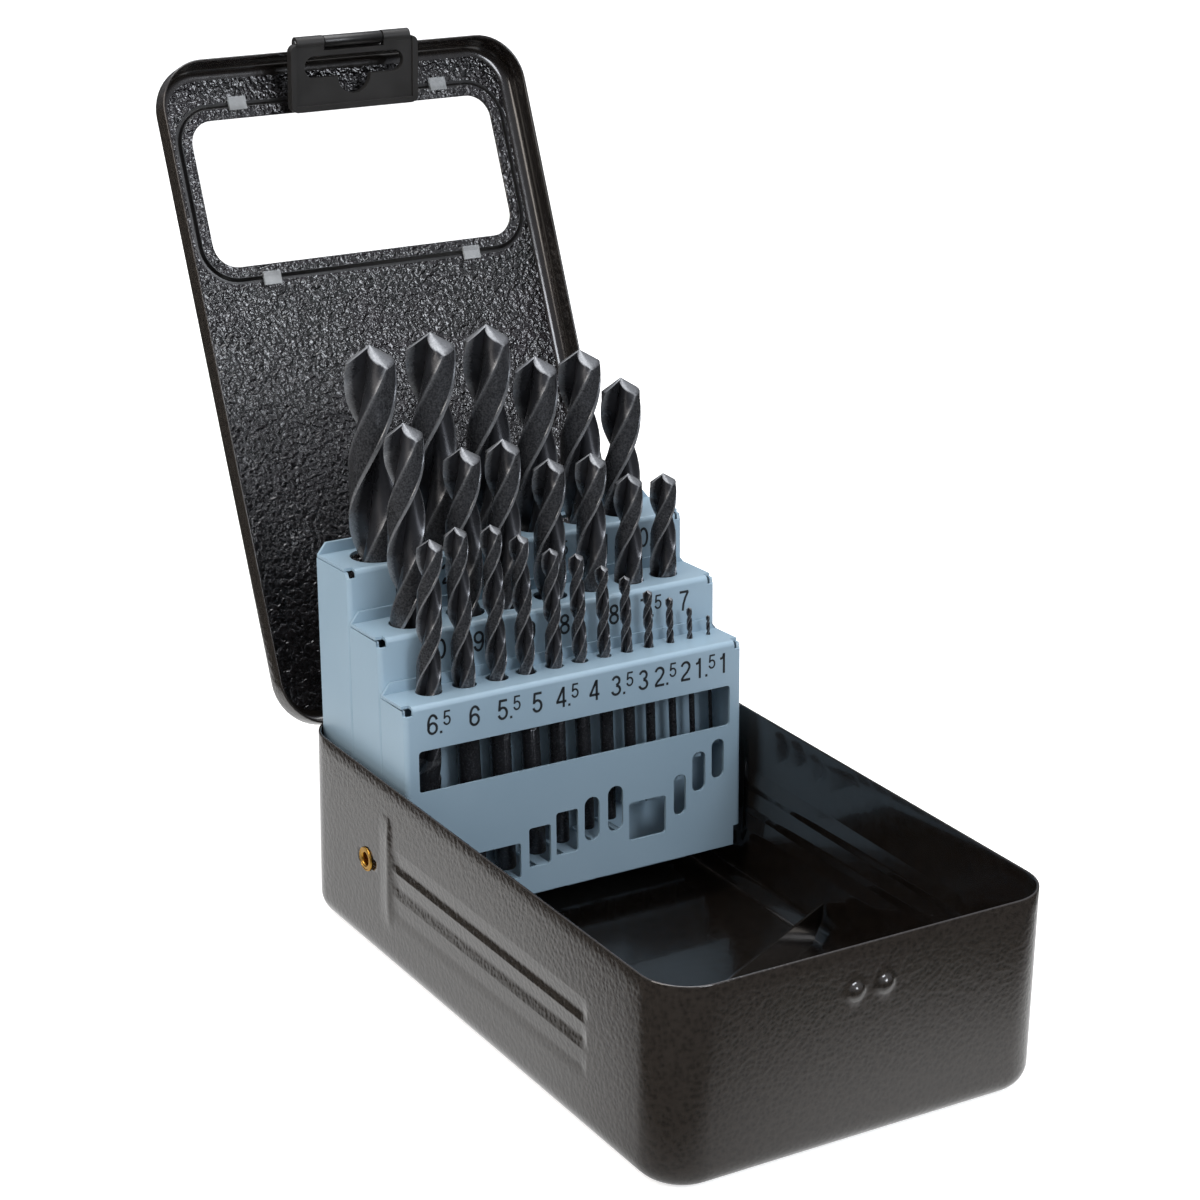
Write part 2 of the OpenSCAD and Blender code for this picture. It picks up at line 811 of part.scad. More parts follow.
// Cross-section of a two-flute drill: lands on the circle, flutes cut to the web
function drill_section(r) =
    [for (side = [0, 180])
        each concat(
            [for (i = [0 : LAND_POINTS - 1])
                let (a = side + DRILL_LAND * (2 * i / (LAND_POINTS - 1) - 1))
                r * [cos(a), sin(a)]],
            [for (i = [1 : GROOVE_POINTS])
                let (u = i / (GROOVE_POINTS + 1),
                     a = side + DRILL_LAND + u * (180 - 2 * DRILL_LAND))
                r * (1 - (1 - DRILL_WEB) * pow(sin(180 * u), 0.75)) * [cos(a), sin(a)]])];

// Twist drill standing on its shank end: the twisted flutes start inside the shank and end in
// the cone of the point
module drill(d, total, flute) {
    r = d / 2;
    bevel = 0.08 * d;
    shank = total - flute;
    twisted = flute + bevel;
    turn = 360 * twisted * tan(helix) / (PI * d);
    color("#2d2f33") {
        cylinder(h = bevel, r1 = r - bevel, r2 = r);
        translate([0, 0, bevel])
            cylinder(h = shank - bevel, r = r);
        translate([0, 0, shank - bevel])
            intersection() {
                linear_extrude(twisted, twist = -turn, slices = ceil(turn / SLICE),
                               $fn = FLUTE_POINTS)
                    polygon(drill_section(DRILL_BODY * r));
                cylinder(h = twisted, r1 = twisted * tan(point / 2), r2 = 0.01 * d);
            }
    }
}

// Drill i of a row in its hole: a leaning drill turns about the hole and stands on its edge
module set_drill(row, xs, y, top, z, i, lean) {
    d = row[i][0];
    on_rack()
        translate([xs[i], y, top])
            rotate([0, lean, 0])
                translate([0, 0, z - top + d / 2 * abs(sin(lean))])
                    drill(d, row[i][1], row[i][2]);
}

// ---- Nodes ----

base_shell();
stop_plate();
hinge_leaf();
hinge_pin();
color("#c79a4b") at_pivot(1) eyelet();  // eyelet_left
color("#c79a4b") at_pivot(0) eyelet();  // eyelet_right
lid_shell();
window_pane();
latch_pin();
latch();
rack_front_tier();
rack_middle_tier();
rack_rear_tier();
rack_floor_plate();
color("#4b4d50") at_pivot(1) spacer();  // spacer_left
color("#4b4d50") at_pivot(0) spacer();  // spacer_right
for (i = [0 : len(ROW_FRONT) - 1])
    set_drill(ROW_FRONT, front_x, row_front, top_front, SHELF[i], i, LEAN[i]);
for (i = [0 : len(ROW_MIDDLE) - 1])
    set_drill(ROW_MIDDLE, middle_x, row_middle, top_middle, -foot_floor, i, 0);
for (i = [0 : len(ROW_REAR) - 1])
    set_drill(ROW_REAR, rear_x, row_rear, top_rear, -foot_floor, i, 0);
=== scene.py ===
import math

import bmesh
import bpy
import numpy as np
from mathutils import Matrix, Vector


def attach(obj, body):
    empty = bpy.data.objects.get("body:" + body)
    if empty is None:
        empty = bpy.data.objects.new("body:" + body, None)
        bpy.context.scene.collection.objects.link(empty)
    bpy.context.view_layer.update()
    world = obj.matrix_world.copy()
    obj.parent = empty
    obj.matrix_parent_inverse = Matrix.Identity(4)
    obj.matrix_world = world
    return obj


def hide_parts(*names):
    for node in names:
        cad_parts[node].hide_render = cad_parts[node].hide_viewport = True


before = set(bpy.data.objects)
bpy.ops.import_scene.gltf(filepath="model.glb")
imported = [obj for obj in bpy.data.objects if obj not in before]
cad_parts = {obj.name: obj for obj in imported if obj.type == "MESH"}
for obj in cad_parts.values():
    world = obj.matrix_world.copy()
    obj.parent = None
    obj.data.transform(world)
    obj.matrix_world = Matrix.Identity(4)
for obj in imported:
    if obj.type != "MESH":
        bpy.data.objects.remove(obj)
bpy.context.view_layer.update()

# ---- Studio ----
# A photographer's table of matt white board, lit by two soft boxes and a large overhead
# diffuser. The camera stands front left, 21 degrees above the open case, with a long lens.

FLOOR_HALF = 2.5
# Centre and half sizes in m of the painted pool of light that the board shows to gloss
PAINTED_POOL_CENTRE = (0.04, 0.146)
PAINTED_POOL_HALF = (0.155, 0.27)
CAMERA_PLACE = (-0.36143, -0.55605, 0.34326)
CAMERA_YAW = -30.369
CAMERA_PITCH = 21.211
CAMERA_ROLL = 0.408
FOCAL_PIXELS = 2980.2
FRAME_PIXELS = 1200
CENTRE_OFFSET = (67.4, 64.5)


def linear(colour):
    """Linear RGBA of an sRGB hex colour: c / 12.92 up to 0.04045, and above it
    ((c + 0.055) / 1.055)^2.4."""
    c = np.array([int(colour[i:i + 2], 16) for i in (1, 3, 5)]) / 255
    c = np.where(c <= 0.04045, c / 12.92, ((c + 0.055) / 1.055) ** 2.4)
    return (*c.tolist(), 1.0)


def add(tree, kind, inputs=None, stops=(), **settings):
    """One node with its settings; an input takes a value, or a link when it gets a socket. A
    colour ramp takes two stops of a position and a colour."""
    node = tree.nodes.new(kind)
    for name, value in settings.items():
        setattr(node, name, value)
    for name, value in (inputs or {}).items():
        if isinstance(value, bpy.types.NodeSocket):
            tree.links.new(value, node.inputs[name])
        else:
            node.inputs[name].default_value = value
    for i, (position, colour) in enumerate(stops):
        node.color_ramp.elements[i].position = position
        node.color_ramp.elements[i].color = linear(colour)
    return node


def new_tree(name):
    """An empty material: the material, its tree, its output and the object's coordinates."""
    material = bpy.data.materials.new(name)
    material.use_nodes = True
    tree = material.node_tree
    tree.nodes.clear()
    return (material, tree, add(tree, "ShaderNodeOutputMaterial"),
            add(tree, "ShaderNodeTexCoord").outputs["Object"])


def rays_of(tree, *kinds):
    """1 for rays of the named kinds and 0 for all others."""
    rays = add(tree, "ShaderNodeLightPath")
    found = rays.outputs[kinds[0]]
    for kind in kinds[1:]:
        found = add(tree, "ShaderNodeMath", {0: found, 1: rays.outputs[kind]},
                    operation="MAXIMUM").outputs[0]
    return found


# Matt white board: white to the eye apart from the object's shadow. Gloss sees a painted pool of
# light on it instead, an emission that is white round the object and fades to dim beyond it.
board, tree, output, where = new_tree("matt_white_board")
matt = add(tree, "ShaderNodeBsdfDiffuse", {"Color": linear("#f4f4f4"), "Roughness": 1.0})
glow = add(tree, "ShaderNodeEmission", {"Color": linear("#ffffff"), "Strength": 0.6})
lifted = add(tree, "ShaderNodeAddShader", {0: matt.outputs[0], 1: glow.outputs[0]})
centred = add(tree, "ShaderNodeVectorMath", {0: where, 1: (*PAINTED_POOL_CENTRE, 0)}, operation="SUBTRACT")
scaled = add(tree, "ShaderNodeVectorMath", {0: centred.outputs[0], 1: (*PAINTED_POOL_HALF, 1)},
             operation="DIVIDE")
far = add(tree, "ShaderNodeVectorMath", {0: scaled.outputs[0]}, operation="LENGTH")
# Painted pool of light for glossy rays: strong inside the oval round the object, faint beyond
painted_light_pool = add(tree, "ShaderNodeMapRange", {"Value": far.outputs["Value"], "From Min": 0.88,
                                        "From Max": 1.18, "To Min": 0.8, "To Max": 0.03},
           interpolation_type="SMOOTHSTEP")
painted_pool_glow = add(tree, "ShaderNodeEmission", {"Color": linear("#ffffff"),
                                            "Strength": painted_light_pool.outputs[0]})
seen = add(tree, "ShaderNodeMixShader", {0: rays_of(tree, "Is Camera Ray", "Is Transmission Ray"),
                                         1: matt.outputs[0], 2: lifted.outputs[0]})
mixed = add(tree, "ShaderNodeMixShader", {0: rays_of(tree, "Is Glossy Ray"), 1: seen.outputs[0],
                                          2: painted_pool_glow.outputs[0]})
tree.links.new(mixed.outputs[0], output.inputs["Surface"])

floor_mesh = bpy.data.meshes.new("floor")
floor_mesh.from_pydata([(x * FLOOR_HALF, y * FLOOR_HALF, -0.0002)
                        for x, y in ((-1, -1), (1, -1), (1, 1), (-1, 1))], [], [(0, 1, 2, 3)])
floor_mesh.materials.append(board)
floor = bpy.data.objects.new("floor", floor_mesh)
bpy.context.scene.collection.objects.link(floor)

world = bpy.data.worlds.new("studio_walls")
bpy.context.scene.world = world
world.use_nodes = True
tree = world.node_tree
tree.nodes.clear()
height = add(tree, "ShaderNodeSeparateXYZ", {0: add(tree, "ShaderNodeTexCoord").outputs[0]})
room = add(tree, "ShaderNodeMapRange", {"Value": height.outputs["Z"], "From Min": 0.0,
                                        "From Max": 0.9, "To Min": 0.08, "To Max": 0.7})
walls = add(tree, "ShaderNodeBackground", {"Color": linear("#c4c5c8"), "Strength": 1.0})
dim = add(tree, "ShaderNodeBackground", {"Color": linear("#f2f5ff"), "Strength": room.outputs[0]})
white = add(tree, "ShaderNodeBackground", {"Color": linear("#ffffff"), "Strength": 1.0})
lit = add(tree, "ShaderNodeMixShader", {0: rays_of(tree, "Is Glossy Ray"), 1: walls.outputs[0],
                                        2: dim.outputs[0]})
mixed = add(tree, "ShaderNodeMixShader", {0: rays_of(tree, "Is Camera Ray", "Is Transmission Ray"),
                                          1: lit.outputs[0], 2: white.outputs[0]})
output = add(tree, "ShaderNodeOutputWorld", {"Surface": mixed.outputs[0]})


def soft_box(name, place, target, width, height, watts, colour):
    """A rectangular area lamp at a place, turned so that its -Z looks at the target."""
    data = bpy.data.lights.new(name, "AREA")
    data.shape = "RECTANGLE"
    data.size, data.size_y = width, height
    data.energy = watts
    data.color = linear(colour)[:3]
    lamp = bpy.data.objects.new(name, data)
    lamp.location = place
    lamp.rotation_euler = (Vector(target) - Vector(place)).to_track_quat("-Z", "Y").to_euler()
    bpy.context.scene.collection.objects.link(lamp)


soft_box("key_box", (-0.85, 0.0, 0.7), (0, 0, 0.08), 0.5, 0.7, 4.4, "#fff6ec")
soft_box("fill_box", (0.2, -0.95, 0.6), (0, 0, 0.08), 0.36, 0.36, 4.0, "#f4f8ff")
soft_box("overhead_box", (0.1, 0.15, 1.1), (0, 0, 0.05), 0.8, 0.8, 7.0, "#ffffff")

camera_data = bpy.data.cameras.new("camera")
camera_data.sensor_width = 36
camera_data.lens = 36 * FOCAL_PIXELS / FRAME_PIXELS
camera_data.shift_x = CENTRE_OFFSET[0] / FRAME_PIXELS
camera_data.shift_y = CENTRE_OFFSET[1] / FRAME_PIXELS
camera_data.clip_start = 0.01
camera = bpy.data.objects.new("camera", camera_data)
yaw, pitch, roll = (math.radians(v) for v in (CAMERA_YAW, CAMERA_PITCH, CAMERA_ROLL))
back = np.array([math.sin(yaw) * math.cos(pitch), -math.cos(yaw) * math.cos(pitch),
                 math.sin(pitch)])
right = np.cross(-back, [0, 0, 1])
right /= np.linalg.norm(right)
up = np.cross(right, -back)
rolled = (math.cos(roll) * right + math.sin(roll) * up,
          math.cos(roll) * up - math.sin(roll) * right)
place = np.eye(4)
place[:3, :3] = np.column_stack((rolled[0], rolled[1], back))
place[:3, 3] = CAMERA_PLACE
camera.matrix_world = place.T.tolist()
bpy.context.scene.collection.objects.link(camera)
bpy.context.scene.camera = camera
bpy.context.scene.view_settings.view_transform = "Standard"

# ---- Base ----
# A deep tray pressed from 0.7 mm steel sheet, its side walls stiffened by three rolled steps
# and an upright crease, with two catch dimples in the front wall. It is stoved with hammered
# enamel outside and with smooth black enamel inside.

BASE_W, BASE_L, BASE_H = 106.0, 175.0, 51.0
SHEET = 0.7
CORNER = 12.0
BOTTOM_EDGE = 6.0
PIVOT_Y, PIVOT_Z = 52.2, 26.4
BORE_R, BORE_REACH = 2.1, 60
STEPS = ((35.0, 30.9), (28.8, 24.7), (22.0, 17.6))
STEP_BASE = 15.0
STEP_DEPTH = 0.55
STEPS_START, STEPS_END = -54.6, 38.0
CREASE_Y = 40.0
CREASE_REAR, CREASE_FRONT = 5.0, 2.0
CREASE_LOW, CREASE_HIGH = 12.4, 42.3
DIMPLE_X, DIMPLE_Z = 4.0, 39.7
DIMPLE_R, DIMPLE_H = 2.4, 1.6


def outline(w, l, r, along_x, along_y, turn=12):
    """Stations counter-clockwise round a rectangle with round corners: centres c and outward
    normals n, so that c + q n lies at the radius q. Stations on the sides are shares, -1 to 1."""
    cx, cy = w / 2 - r, l / 2 - r
    a = np.radians(np.linspace(0, 90, turn + 1)[1:-1])
    x, y = cx * along_x, cy * along_y
    ones = np.ones_like
    legs = [(cx * ones(y), y, ones(y), 0 * y),
            (cx * ones(a), cy * ones(a), np.cos(a), np.sin(a)),
            (x[::-1], cy * ones(x), 0 * x, ones(x)),
            (-cx * ones(a), cy * ones(a), -np.sin(a), np.cos(a)),
            (-cx * ones(y), y[::-1], -ones(y), 0 * y),
            (-cx * ones(a), -cy * ones(a), -np.cos(a), -np.sin(a)),
            (x, -cy * ones(x), 0 * x, -ones(x)),
            (cx * ones(a), -cy * ones(a), np.sin(a), -np.cos(a))]
    c = np.concatenate([np.column_stack(leg[:2]) for leg in legs])
    n = np.concatenate([np.column_stack(leg[2:]) for leg in legs])
    return c, n


def arc(cq, cz, r, a0, a1, count):
    """Points (q, z) of an arc about (cq, cz): q = cq + r cos a, z = cz + r sin a."""
    a = np.radians(np.linspace(a0, a1, count))
    return np.column_stack((cq + r * np.cos(a), cz + r * np.sin(a)))


def quads(rows, columns, wrap_rows=False, wrap_columns=True):
    """Corner indices of the quads of a grid whose point (i, j) has the index i + j * columns."""
    i = np.arange(columns if wrap_columns else columns - 1)
    j = np.arange(rows if wrap_rows else rows - 1)
    i, j = (v.ravel() for v in np.meshgrid(i, j))
    i2, j2 = (i + 1) % columns, (j + 1) % rows
    return np.column_stack((i + j * columns, i2 + j * columns, i2 + j2 * columns,
                            i + j2 * columns))


def piece(name, points, faces, body, materials, face_material=None, attribute=None):
    """A smooth-shaded mesh object in place, from points in mm and faces, that rides on a body."""
    mesh = bpy.data.meshes.new(name)
    mesh.from_pydata((np.asarray(points) / 1000).tolist(), [],
                     [list(map(int, f)) for f in faces])
    for material in materials:
        mesh.materials.append(material)
    if face_material is not None:
        mesh.polygons.foreach_set("material_index", np.asarray(face_material, np.int32))
    for key, values in (attribute or {}).items():
        layer = mesh.attributes.new(key, "FLOAT", "POINT")
        layer.data.foreach_set("value", np.asarray(values, np.float32).ravel())
    mesh.validate()
    mesh.shade_smooth()
    mesh.set_sharp_from_angle(angle=math.radians(38))
    obj = bpy.data.objects.new(name, mesh)
    bpy.context.scene.collection.objects.link(obj)
    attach(obj, body)
    return obj


def merged(values, gap):
    """The sorted values without those that come closer than the gap to the one before."""
    values = np.unique(np.round(values, 4))
    keep = np.concatenate(([True], np.diff(values) > gap))
    return values[keep]


def stoved_enamel(name, colour, roughness, cells, depth, worms=0.0, fleck=None, coat=0.6):
    """Stoved enamel: a dielectric drawn into cells of the given size in mm under a clear gloss
    of the given weight. Its height is a smooth cell distance, or noise drawn out into worms,
    over a finer ripple, and its colour follows that height, darker in the hollows."""
    material, tree, output, where = new_tree(name)
    if worms:
        cell = add(tree, "ShaderNodeTexNoise", {"Vector": where, "Scale": 1000 / cells,
                                                "Detail": 1.5, "Distortion": worms})
        spread = (0.36, 0.64)
        skin = cell.outputs["Fac"]
    else:
        warp = add(tree, "ShaderNodeTexNoise", {"Vector": where, "Scale": 700 / cells,
                                                "Detail": 2.0})
        bent = add(tree, "ShaderNodeVectorMath", {0: warp.outputs["Color"],
                                                  "Scale": 0.0006 * cells}, operation="SCALE")
        moved = add(tree, "ShaderNodeVectorMath", {0: where, 1: bent.outputs[0]},
                    operation="ADD")
        cell = add(tree, "ShaderNodeTexVoronoi", {"Vector": moved.outputs[0],
                                                  "Scale": 1000 / cells, "Smoothness": 0.5},
                   feature="SMOOTH_F1")
        spread = (0.1, 0.6)
        skin = cell.outputs["Distance"]
    ripple = add(tree, "ShaderNodeTexNoise", {"Vector": where, "Scale": 1500 / cells,
                                              "Detail": 3.0})
    height = add(tree, "ShaderNodeMath", {0: ripple.outputs[0], 1: 0.3, 2: skin},
                 operation="MULTIPLY_ADD")
    bump = add(tree, "ShaderNodeBump", {"Height": height.outputs[0], "Strength": 1.0,
                                        "Distance": depth / 1000})
    # Colour follows the height, darker in the hollows: on the wrinkle enamel this is painted shade
    # in the folds and painted sheen on their crowns
    tint = add(tree, "ShaderNodeValToRGB", {"Fac": skin},
               stops=((spread[0], colour[1]), (spread[1], colour[0])))
    base = tint.outputs[0]
    if fleck:
        speck = add(tree, "ShaderNodeTexVoronoi", {"Vector": where, "Scale": 1000 / fleck[1]})
        dot = add(tree, "ShaderNodeMath", {0: speck.outputs["Distance"], 1: 0.05},
                  operation="LESS_THAN")
        pick = add(tree, "ShaderNodeMath", {0: speck.outputs["Color"], 1: 0.86},
                   operation="GREATER_THAN")
        both = add(tree, "ShaderNodeMath", {0: dot.outputs[0], 1: pick.outputs[0]},
                   operation="MULTIPLY")
        mix = add(tree, "ShaderNodeMix", {0: both.outputs[0]}, data_type="RGBA")
        tree.links.new(base, mix.inputs[6])
        mix.inputs[7].default_value = linear(fleck[0])
        base = mix.outputs[2]
    shine = add(tree, "ShaderNodeMapRange", {"Value": ripple.outputs[0], "From Min": 0.3,
                                             "From Max": 0.7, "To Min": roughness[0],
                                             "To Max": roughness[1]})
    shader = add(tree, "ShaderNodeBsdfPrincipled", {
        "Base Color": base, "Roughness": shine.outputs[0], "IOR": 1.6, "Coat Weight": coat,
        "Coat Roughness": 0.06, "Normal": bump.outputs[0]})
    tree.links.new(bump.outputs[0], shader.inputs["Coat Normal"])
    tree.links.new(shader.outputs[0], output.inputs["Surface"])
    return material


# Hammered stoving enamel: dark brown-black, glossy, its skin drawn into cells 1.2 mm wide
hammered_enamel = stoved_enamel("hammered_stoving_enamel", ("#2c2824", "#1e1b18"), (0.1, 0.18),
                                1.2, 0.055)
# Smooth stoving enamel inside: near black, glossy, with the odd pale dust speck
smooth_enamel = stoved_enamel("smooth_stoving_enamel", ("#191512", "#13100e"), (0.16, 0.24), 3.2,
                              0.012, 0.0, ("#8d949c", 1.3))


def base_tray():
    """The tray's skin, inside and outside in one closed grid: c + (q + d) n at the height z.
    d is a sawtooth of z on the sides, 0 on each ridge and -depth in the valley under it, plus
    two slopes of y up to the crease, and on a dimple the height of a sphere's cap."""
    side = np.concatenate((np.linspace(-75.5, 75.5, 26), STEPS_START + np.arange(-1, 4, 0.5),
                           STEPS_END + np.arange(-4, 0.6, 0.5),
                           CREASE_Y + np.arange(-3.0, 6.1, 0.3)))
    front = np.concatenate((np.linspace(-41, 41, 15), np.arange(-8, 8.01, 0.4)))
    side, front = merged(side, 0.12), merged(front, 0.12)
    side[[0, -1]], front[[0, -1]] = (-75.5, 75.5), (-41, 41)
    c, n = outline(BASE_W, BASE_L, CORNER, front / 41, side / 75.5, 14)
    ridges, valleys = np.array(STEPS).T
    heights = merged(np.concatenate((
        (ridges[:, None] + [-1.2, -0.5, -0.15, 0, 0.15, 0.5]).ravel(),
        (valleys[:, None] + [-1.0, -0.6, -0.3, 0, 0.3, 0.6, 1.0, 1.8]).ravel(),
        STEP_BASE + np.array([-0.6, 0, 0.6]), [8, 10, 12.4, 13.4, 43, 45, 47],
        np.arange(36.9, 42.6, 0.35))), 0.1)
    inner_q = CORNER - SHEET
    tip = SHEET / 2
    section = np.concatenate((
        [[2, 0], [CORNER - BOTTOM_EDGE, 0]],
        arc(CORNER - BOTTOM_EDGE, BOTTOM_EDGE, BOTTOM_EDGE, -80, 0, 9),
        np.column_stack((np.full(len(heights), CORNER), heights)),
        arc(CORNER - tip, BASE_H - tip, tip, 0, 180, 7),
        np.column_stack((np.full(len(heights), inner_q), heights[::-1])),
        arc(CORNER - BOTTOM_EDGE, BOTTOM_EDGE, BOTTOM_EDGE - SHEET, 0, -80, 9),
        [[CORNER - BOTTOM_EDGE, SHEET], [2, SHEET]]))
    q, z = section[:, 0], section[:, 1]
    wall = q[:, None] > inner_q - 0.2
    y, zz = c[None, :, 1] + 0 * z[:, None], z[:, None] + 0 * c[None, :, 1]
    on_side = np.abs(n[None, :, 0]) > 0.999
    on_front = (n[None, :, 1] < -0.999)
    knots = np.concatenate(([STEP_BASE], np.column_stack((valleys, ridges))[::-1].ravel()))
    depths = np.concatenate(([0], np.tile([1.0, 0.0], len(STEPS))))
    depths[1] = 0.5
    soft = sum(np.interp(zz + o, knots, depths) for o in (-0.25, 0, 0.25)) / 3
    on_ridge = np.abs(zz[..., None] - ridges).min(-1) < 0.3
    dip = np.where(on_ridge, np.interp(zz, knots, depths), soft)
    ends = (np.clip((y - STEPS_START) / 2.5, 0, 1) * np.clip((STEPS_END - y) / 2.5, 0, 1))
    d = -STEP_DEPTH * dip * ends ** 0.7 * on_side
    feet = [CREASE_Y - CREASE_FRONT, CREASE_Y, CREASE_Y + 0.4 * CREASE_REAR,
            CREASE_Y + CREASE_REAR]
    ridge = sum(np.interp(y + o, feet, [0, 1, 0.5, 0]) for o in (-0.5, 0, 0.5)) / 3
    tall = np.clip((zz - CREASE_LOW) / 6, 0, 1) * np.clip((CREASE_HIGH - zz) / 6, 0, 1)
    d = d + STEP_DEPTH * ridge * tall ** 0.6 * on_side
    ball = (DIMPLE_R ** 2 + DIMPLE_H ** 2) / (2 * DIMPLE_H)
    x = c[None, :, 0] + 0 * zz
    for centre in (-DIMPLE_X, DIMPLE_X):
        rho = np.hypot(x - centre, zz - DIMPLE_Z)
        cap = np.sqrt(np.clip(ball ** 2 - rho ** 2, 0, None)) - (ball - DIMPLE_H)
        skirt = 0.22 * np.exp(-((rho - DIMPLE_R) / 0.5) ** 2)
        d = d + np.where(rho < DIMPLE_R, np.maximum(cap, skirt), skirt) * on_front
    reach = q[:, None] + d * wall
    points = np.stack((c[None, :, 0] + reach * n[None, :, 0],
                       c[None, :, 1] + reach * n[None, :, 1], zz), -1)
    count = len(c)
    faces = quads(len(q), count).tolist()
    inside = np.repeat(np.arange(len(q) - 1) > len(q) // 2 - 1, count).astype(int).tolist()
    last = (len(q) - 1) * count
    faces += [list(range(count))[::-1], [last + i for i in range(count)]]
    return points.reshape(-1, 3), faces, inside + [0, 1]


def drilled(obj, radius, centre, axis_x):
    """Cuts a round bore of the radius, along X at the centre (y, z), through both side walls."""
    a = np.radians(np.arange(0, 360, 15))
    ring = np.column_stack((centre[0] + radius * np.cos(a), centre[1] + radius * np.sin(a)))
    points = [(x / 1000, p[0] / 1000, p[1] / 1000) for x in (-axis_x, axis_x) for p in ring]
    count = len(ring)
    faces = [(i, (i + 1) % count, count + (i + 1) % count, count + i) for i in range(count)]
    faces += [tuple(range(count))[::-1], tuple(range(count, 2 * count))]
    mesh = bpy.data.meshes.new("bore")
    mesh.from_pydata(points, [], faces)
    cutter = bpy.data.objects.new("bore", mesh)
    bpy.context.scene.collection.objects.link(cutter)
    cut = obj.modifiers.new("bore", "BOOLEAN")
    cut.object, cut.solver = cutter, "EXACT"
    bpy.context.view_layer.update()
    result = bpy.data.meshes.new_from_object(
        obj.evaluated_get(bpy.context.evaluated_depsgraph_get()))
    obj.modifiers.clear()
    obj.data = result
    bpy.data.objects.remove(cutter)


points, faces, inside = base_tray()
base = piece("base_tray", points, faces, "base", [hammered_enamel, smooth_enamel], inside)
drilled(base, BORE_R, (PIVOT_Y, PIVOT_Z), BORE_REACH)
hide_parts("base_shell")

# ---- Stop plate ----
# A strip of the same sheet folded to an angle and spot welded across the floor. It was stoved
# with the base, so it carries the same smooth black enamel.

EDGE_BREAK = 0.12


def finished_copy(node, name, body, materials, radius=EDGE_BREAK, segments=2):
    """A copy of a CAD node: its loose triangles are merged where they meet, flat faces are
    joined, and each edge sharper than 30 degrees gets a small round of the radius in mm."""
    shape = bmesh.new()
    shape.from_mesh(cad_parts[node].data)
    bmesh.ops.remove_doubles(shape, verts=shape.verts, dist=2e-6)
    bmesh.ops.dissolve_limit(shape, angle_limit=math.radians(1.0), verts=shape.verts,
                             edges=shape.edges)
    mesh = bpy.data.meshes.new(name)
    shape.to_mesh(mesh)
    shape.free()
    for material in materials:
        mesh.materials.append(material)
    mesh.polygons.foreach_set("material_index", np.zeros(len(mesh.polygons), np.int32))
    mesh.shade_smooth()
    obj = bpy.data.objects.new(name, mesh)
    bpy.context.scene.collection.objects.link(obj)
    rounding = obj.modifiers.new("edge_break", "BEVEL")
    rounding.width = radius / 1000
    rounding.segments = segments
    rounding.limit_method = "ANGLE"
    rounding.angle_limit = math.radians(30)
    rounding.harden_normals = True
    flat = obj.modifiers.new("flat_faces", "WEIGHTED_NORMAL")
    flat.weight = 90
    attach(obj, body)
    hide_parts(node)
    return obj


finished_copy("stop_plate", "folded_stop", "base", [smooth_enamel])

# ---- Lid ----
# A shallow tray pressed from the same sheet with a window stamped out of it. The window's
# border is pressed down for the pane, a tongue at the front is rolled round the latch's pin,
# and two ears at the rear are rolled round the hinge's pin.

LID_GAP = 0.4
LID_W, LID_L = BASE_W + 2 * (LID_GAP + SHEET), BASE_L + 2 * (LID_GAP + SHEET)
LID_R = CORNER + LID_GAP + SHEET
LID_EDGE = 3.5
LIP_Z, TOP_Z = 49.0, 57.6
WINDOW_W, WINDOW_L, WINDOW_R = 90.0, 39.4, 6.5
WINDOW_FRONT = 14.9
WINDOW_Y = -LID_L / 2 + WINDOW_FRONT + WINDOW_L / 2
BORDER_W, BORDER_DEPTH = 3.6, 0.8
HINGE_Y, HINGE_Z = 89.8, 46.4
KNUCKLE_R = 1.9
LATCH_X, LATCH_Y, LATCH_Z = 2.0, -89.6, 46.0
CURL_R, CURL_W = 1.7, 17.2
EAR_X, EAR_W = 12.0, 11.6
LID_OPEN = math.radians(-114)

# Wrinkle enamel on the lid's inner panel: black, with worm-like folds 1.5 mm apart that glint;
# their hollows are painted darker as shade and their crowns lighter as sheen
coarse_enamel = stoved_enamel("wrinkle_enamel", ("#1b191a", "#070606"), (0.05, 0.1), 1.5,
                              0.62, 0.6)
# Flat black enamel: in the fold round the window partly pooled paint and partly painted shade,
# and also on the rolled tongue
pooled_and_shade_enamel = stoved_enamel("pooled_and_shade_enamel", ("#121110", "#0b0a0a"), (0.3, 0.4), 3.0, 0.01,
                              coat=0.0)


def opened(points):
    """Points of the closed lid turned about the hinge to the open place: y' = y cos a - z sin a,
    z' = y sin a + z cos a, from the hinge's axis."""
    y, z = points[..., 1] - HINGE_Y, points[..., 2] - HINGE_Z
    c, s = math.cos(LID_OPEN), math.sin(LID_OPEN)
    return np.stack((points[..., 0], HINGE_Y + c * y - s * z, HINGE_Z + s * y + c * z), -1)


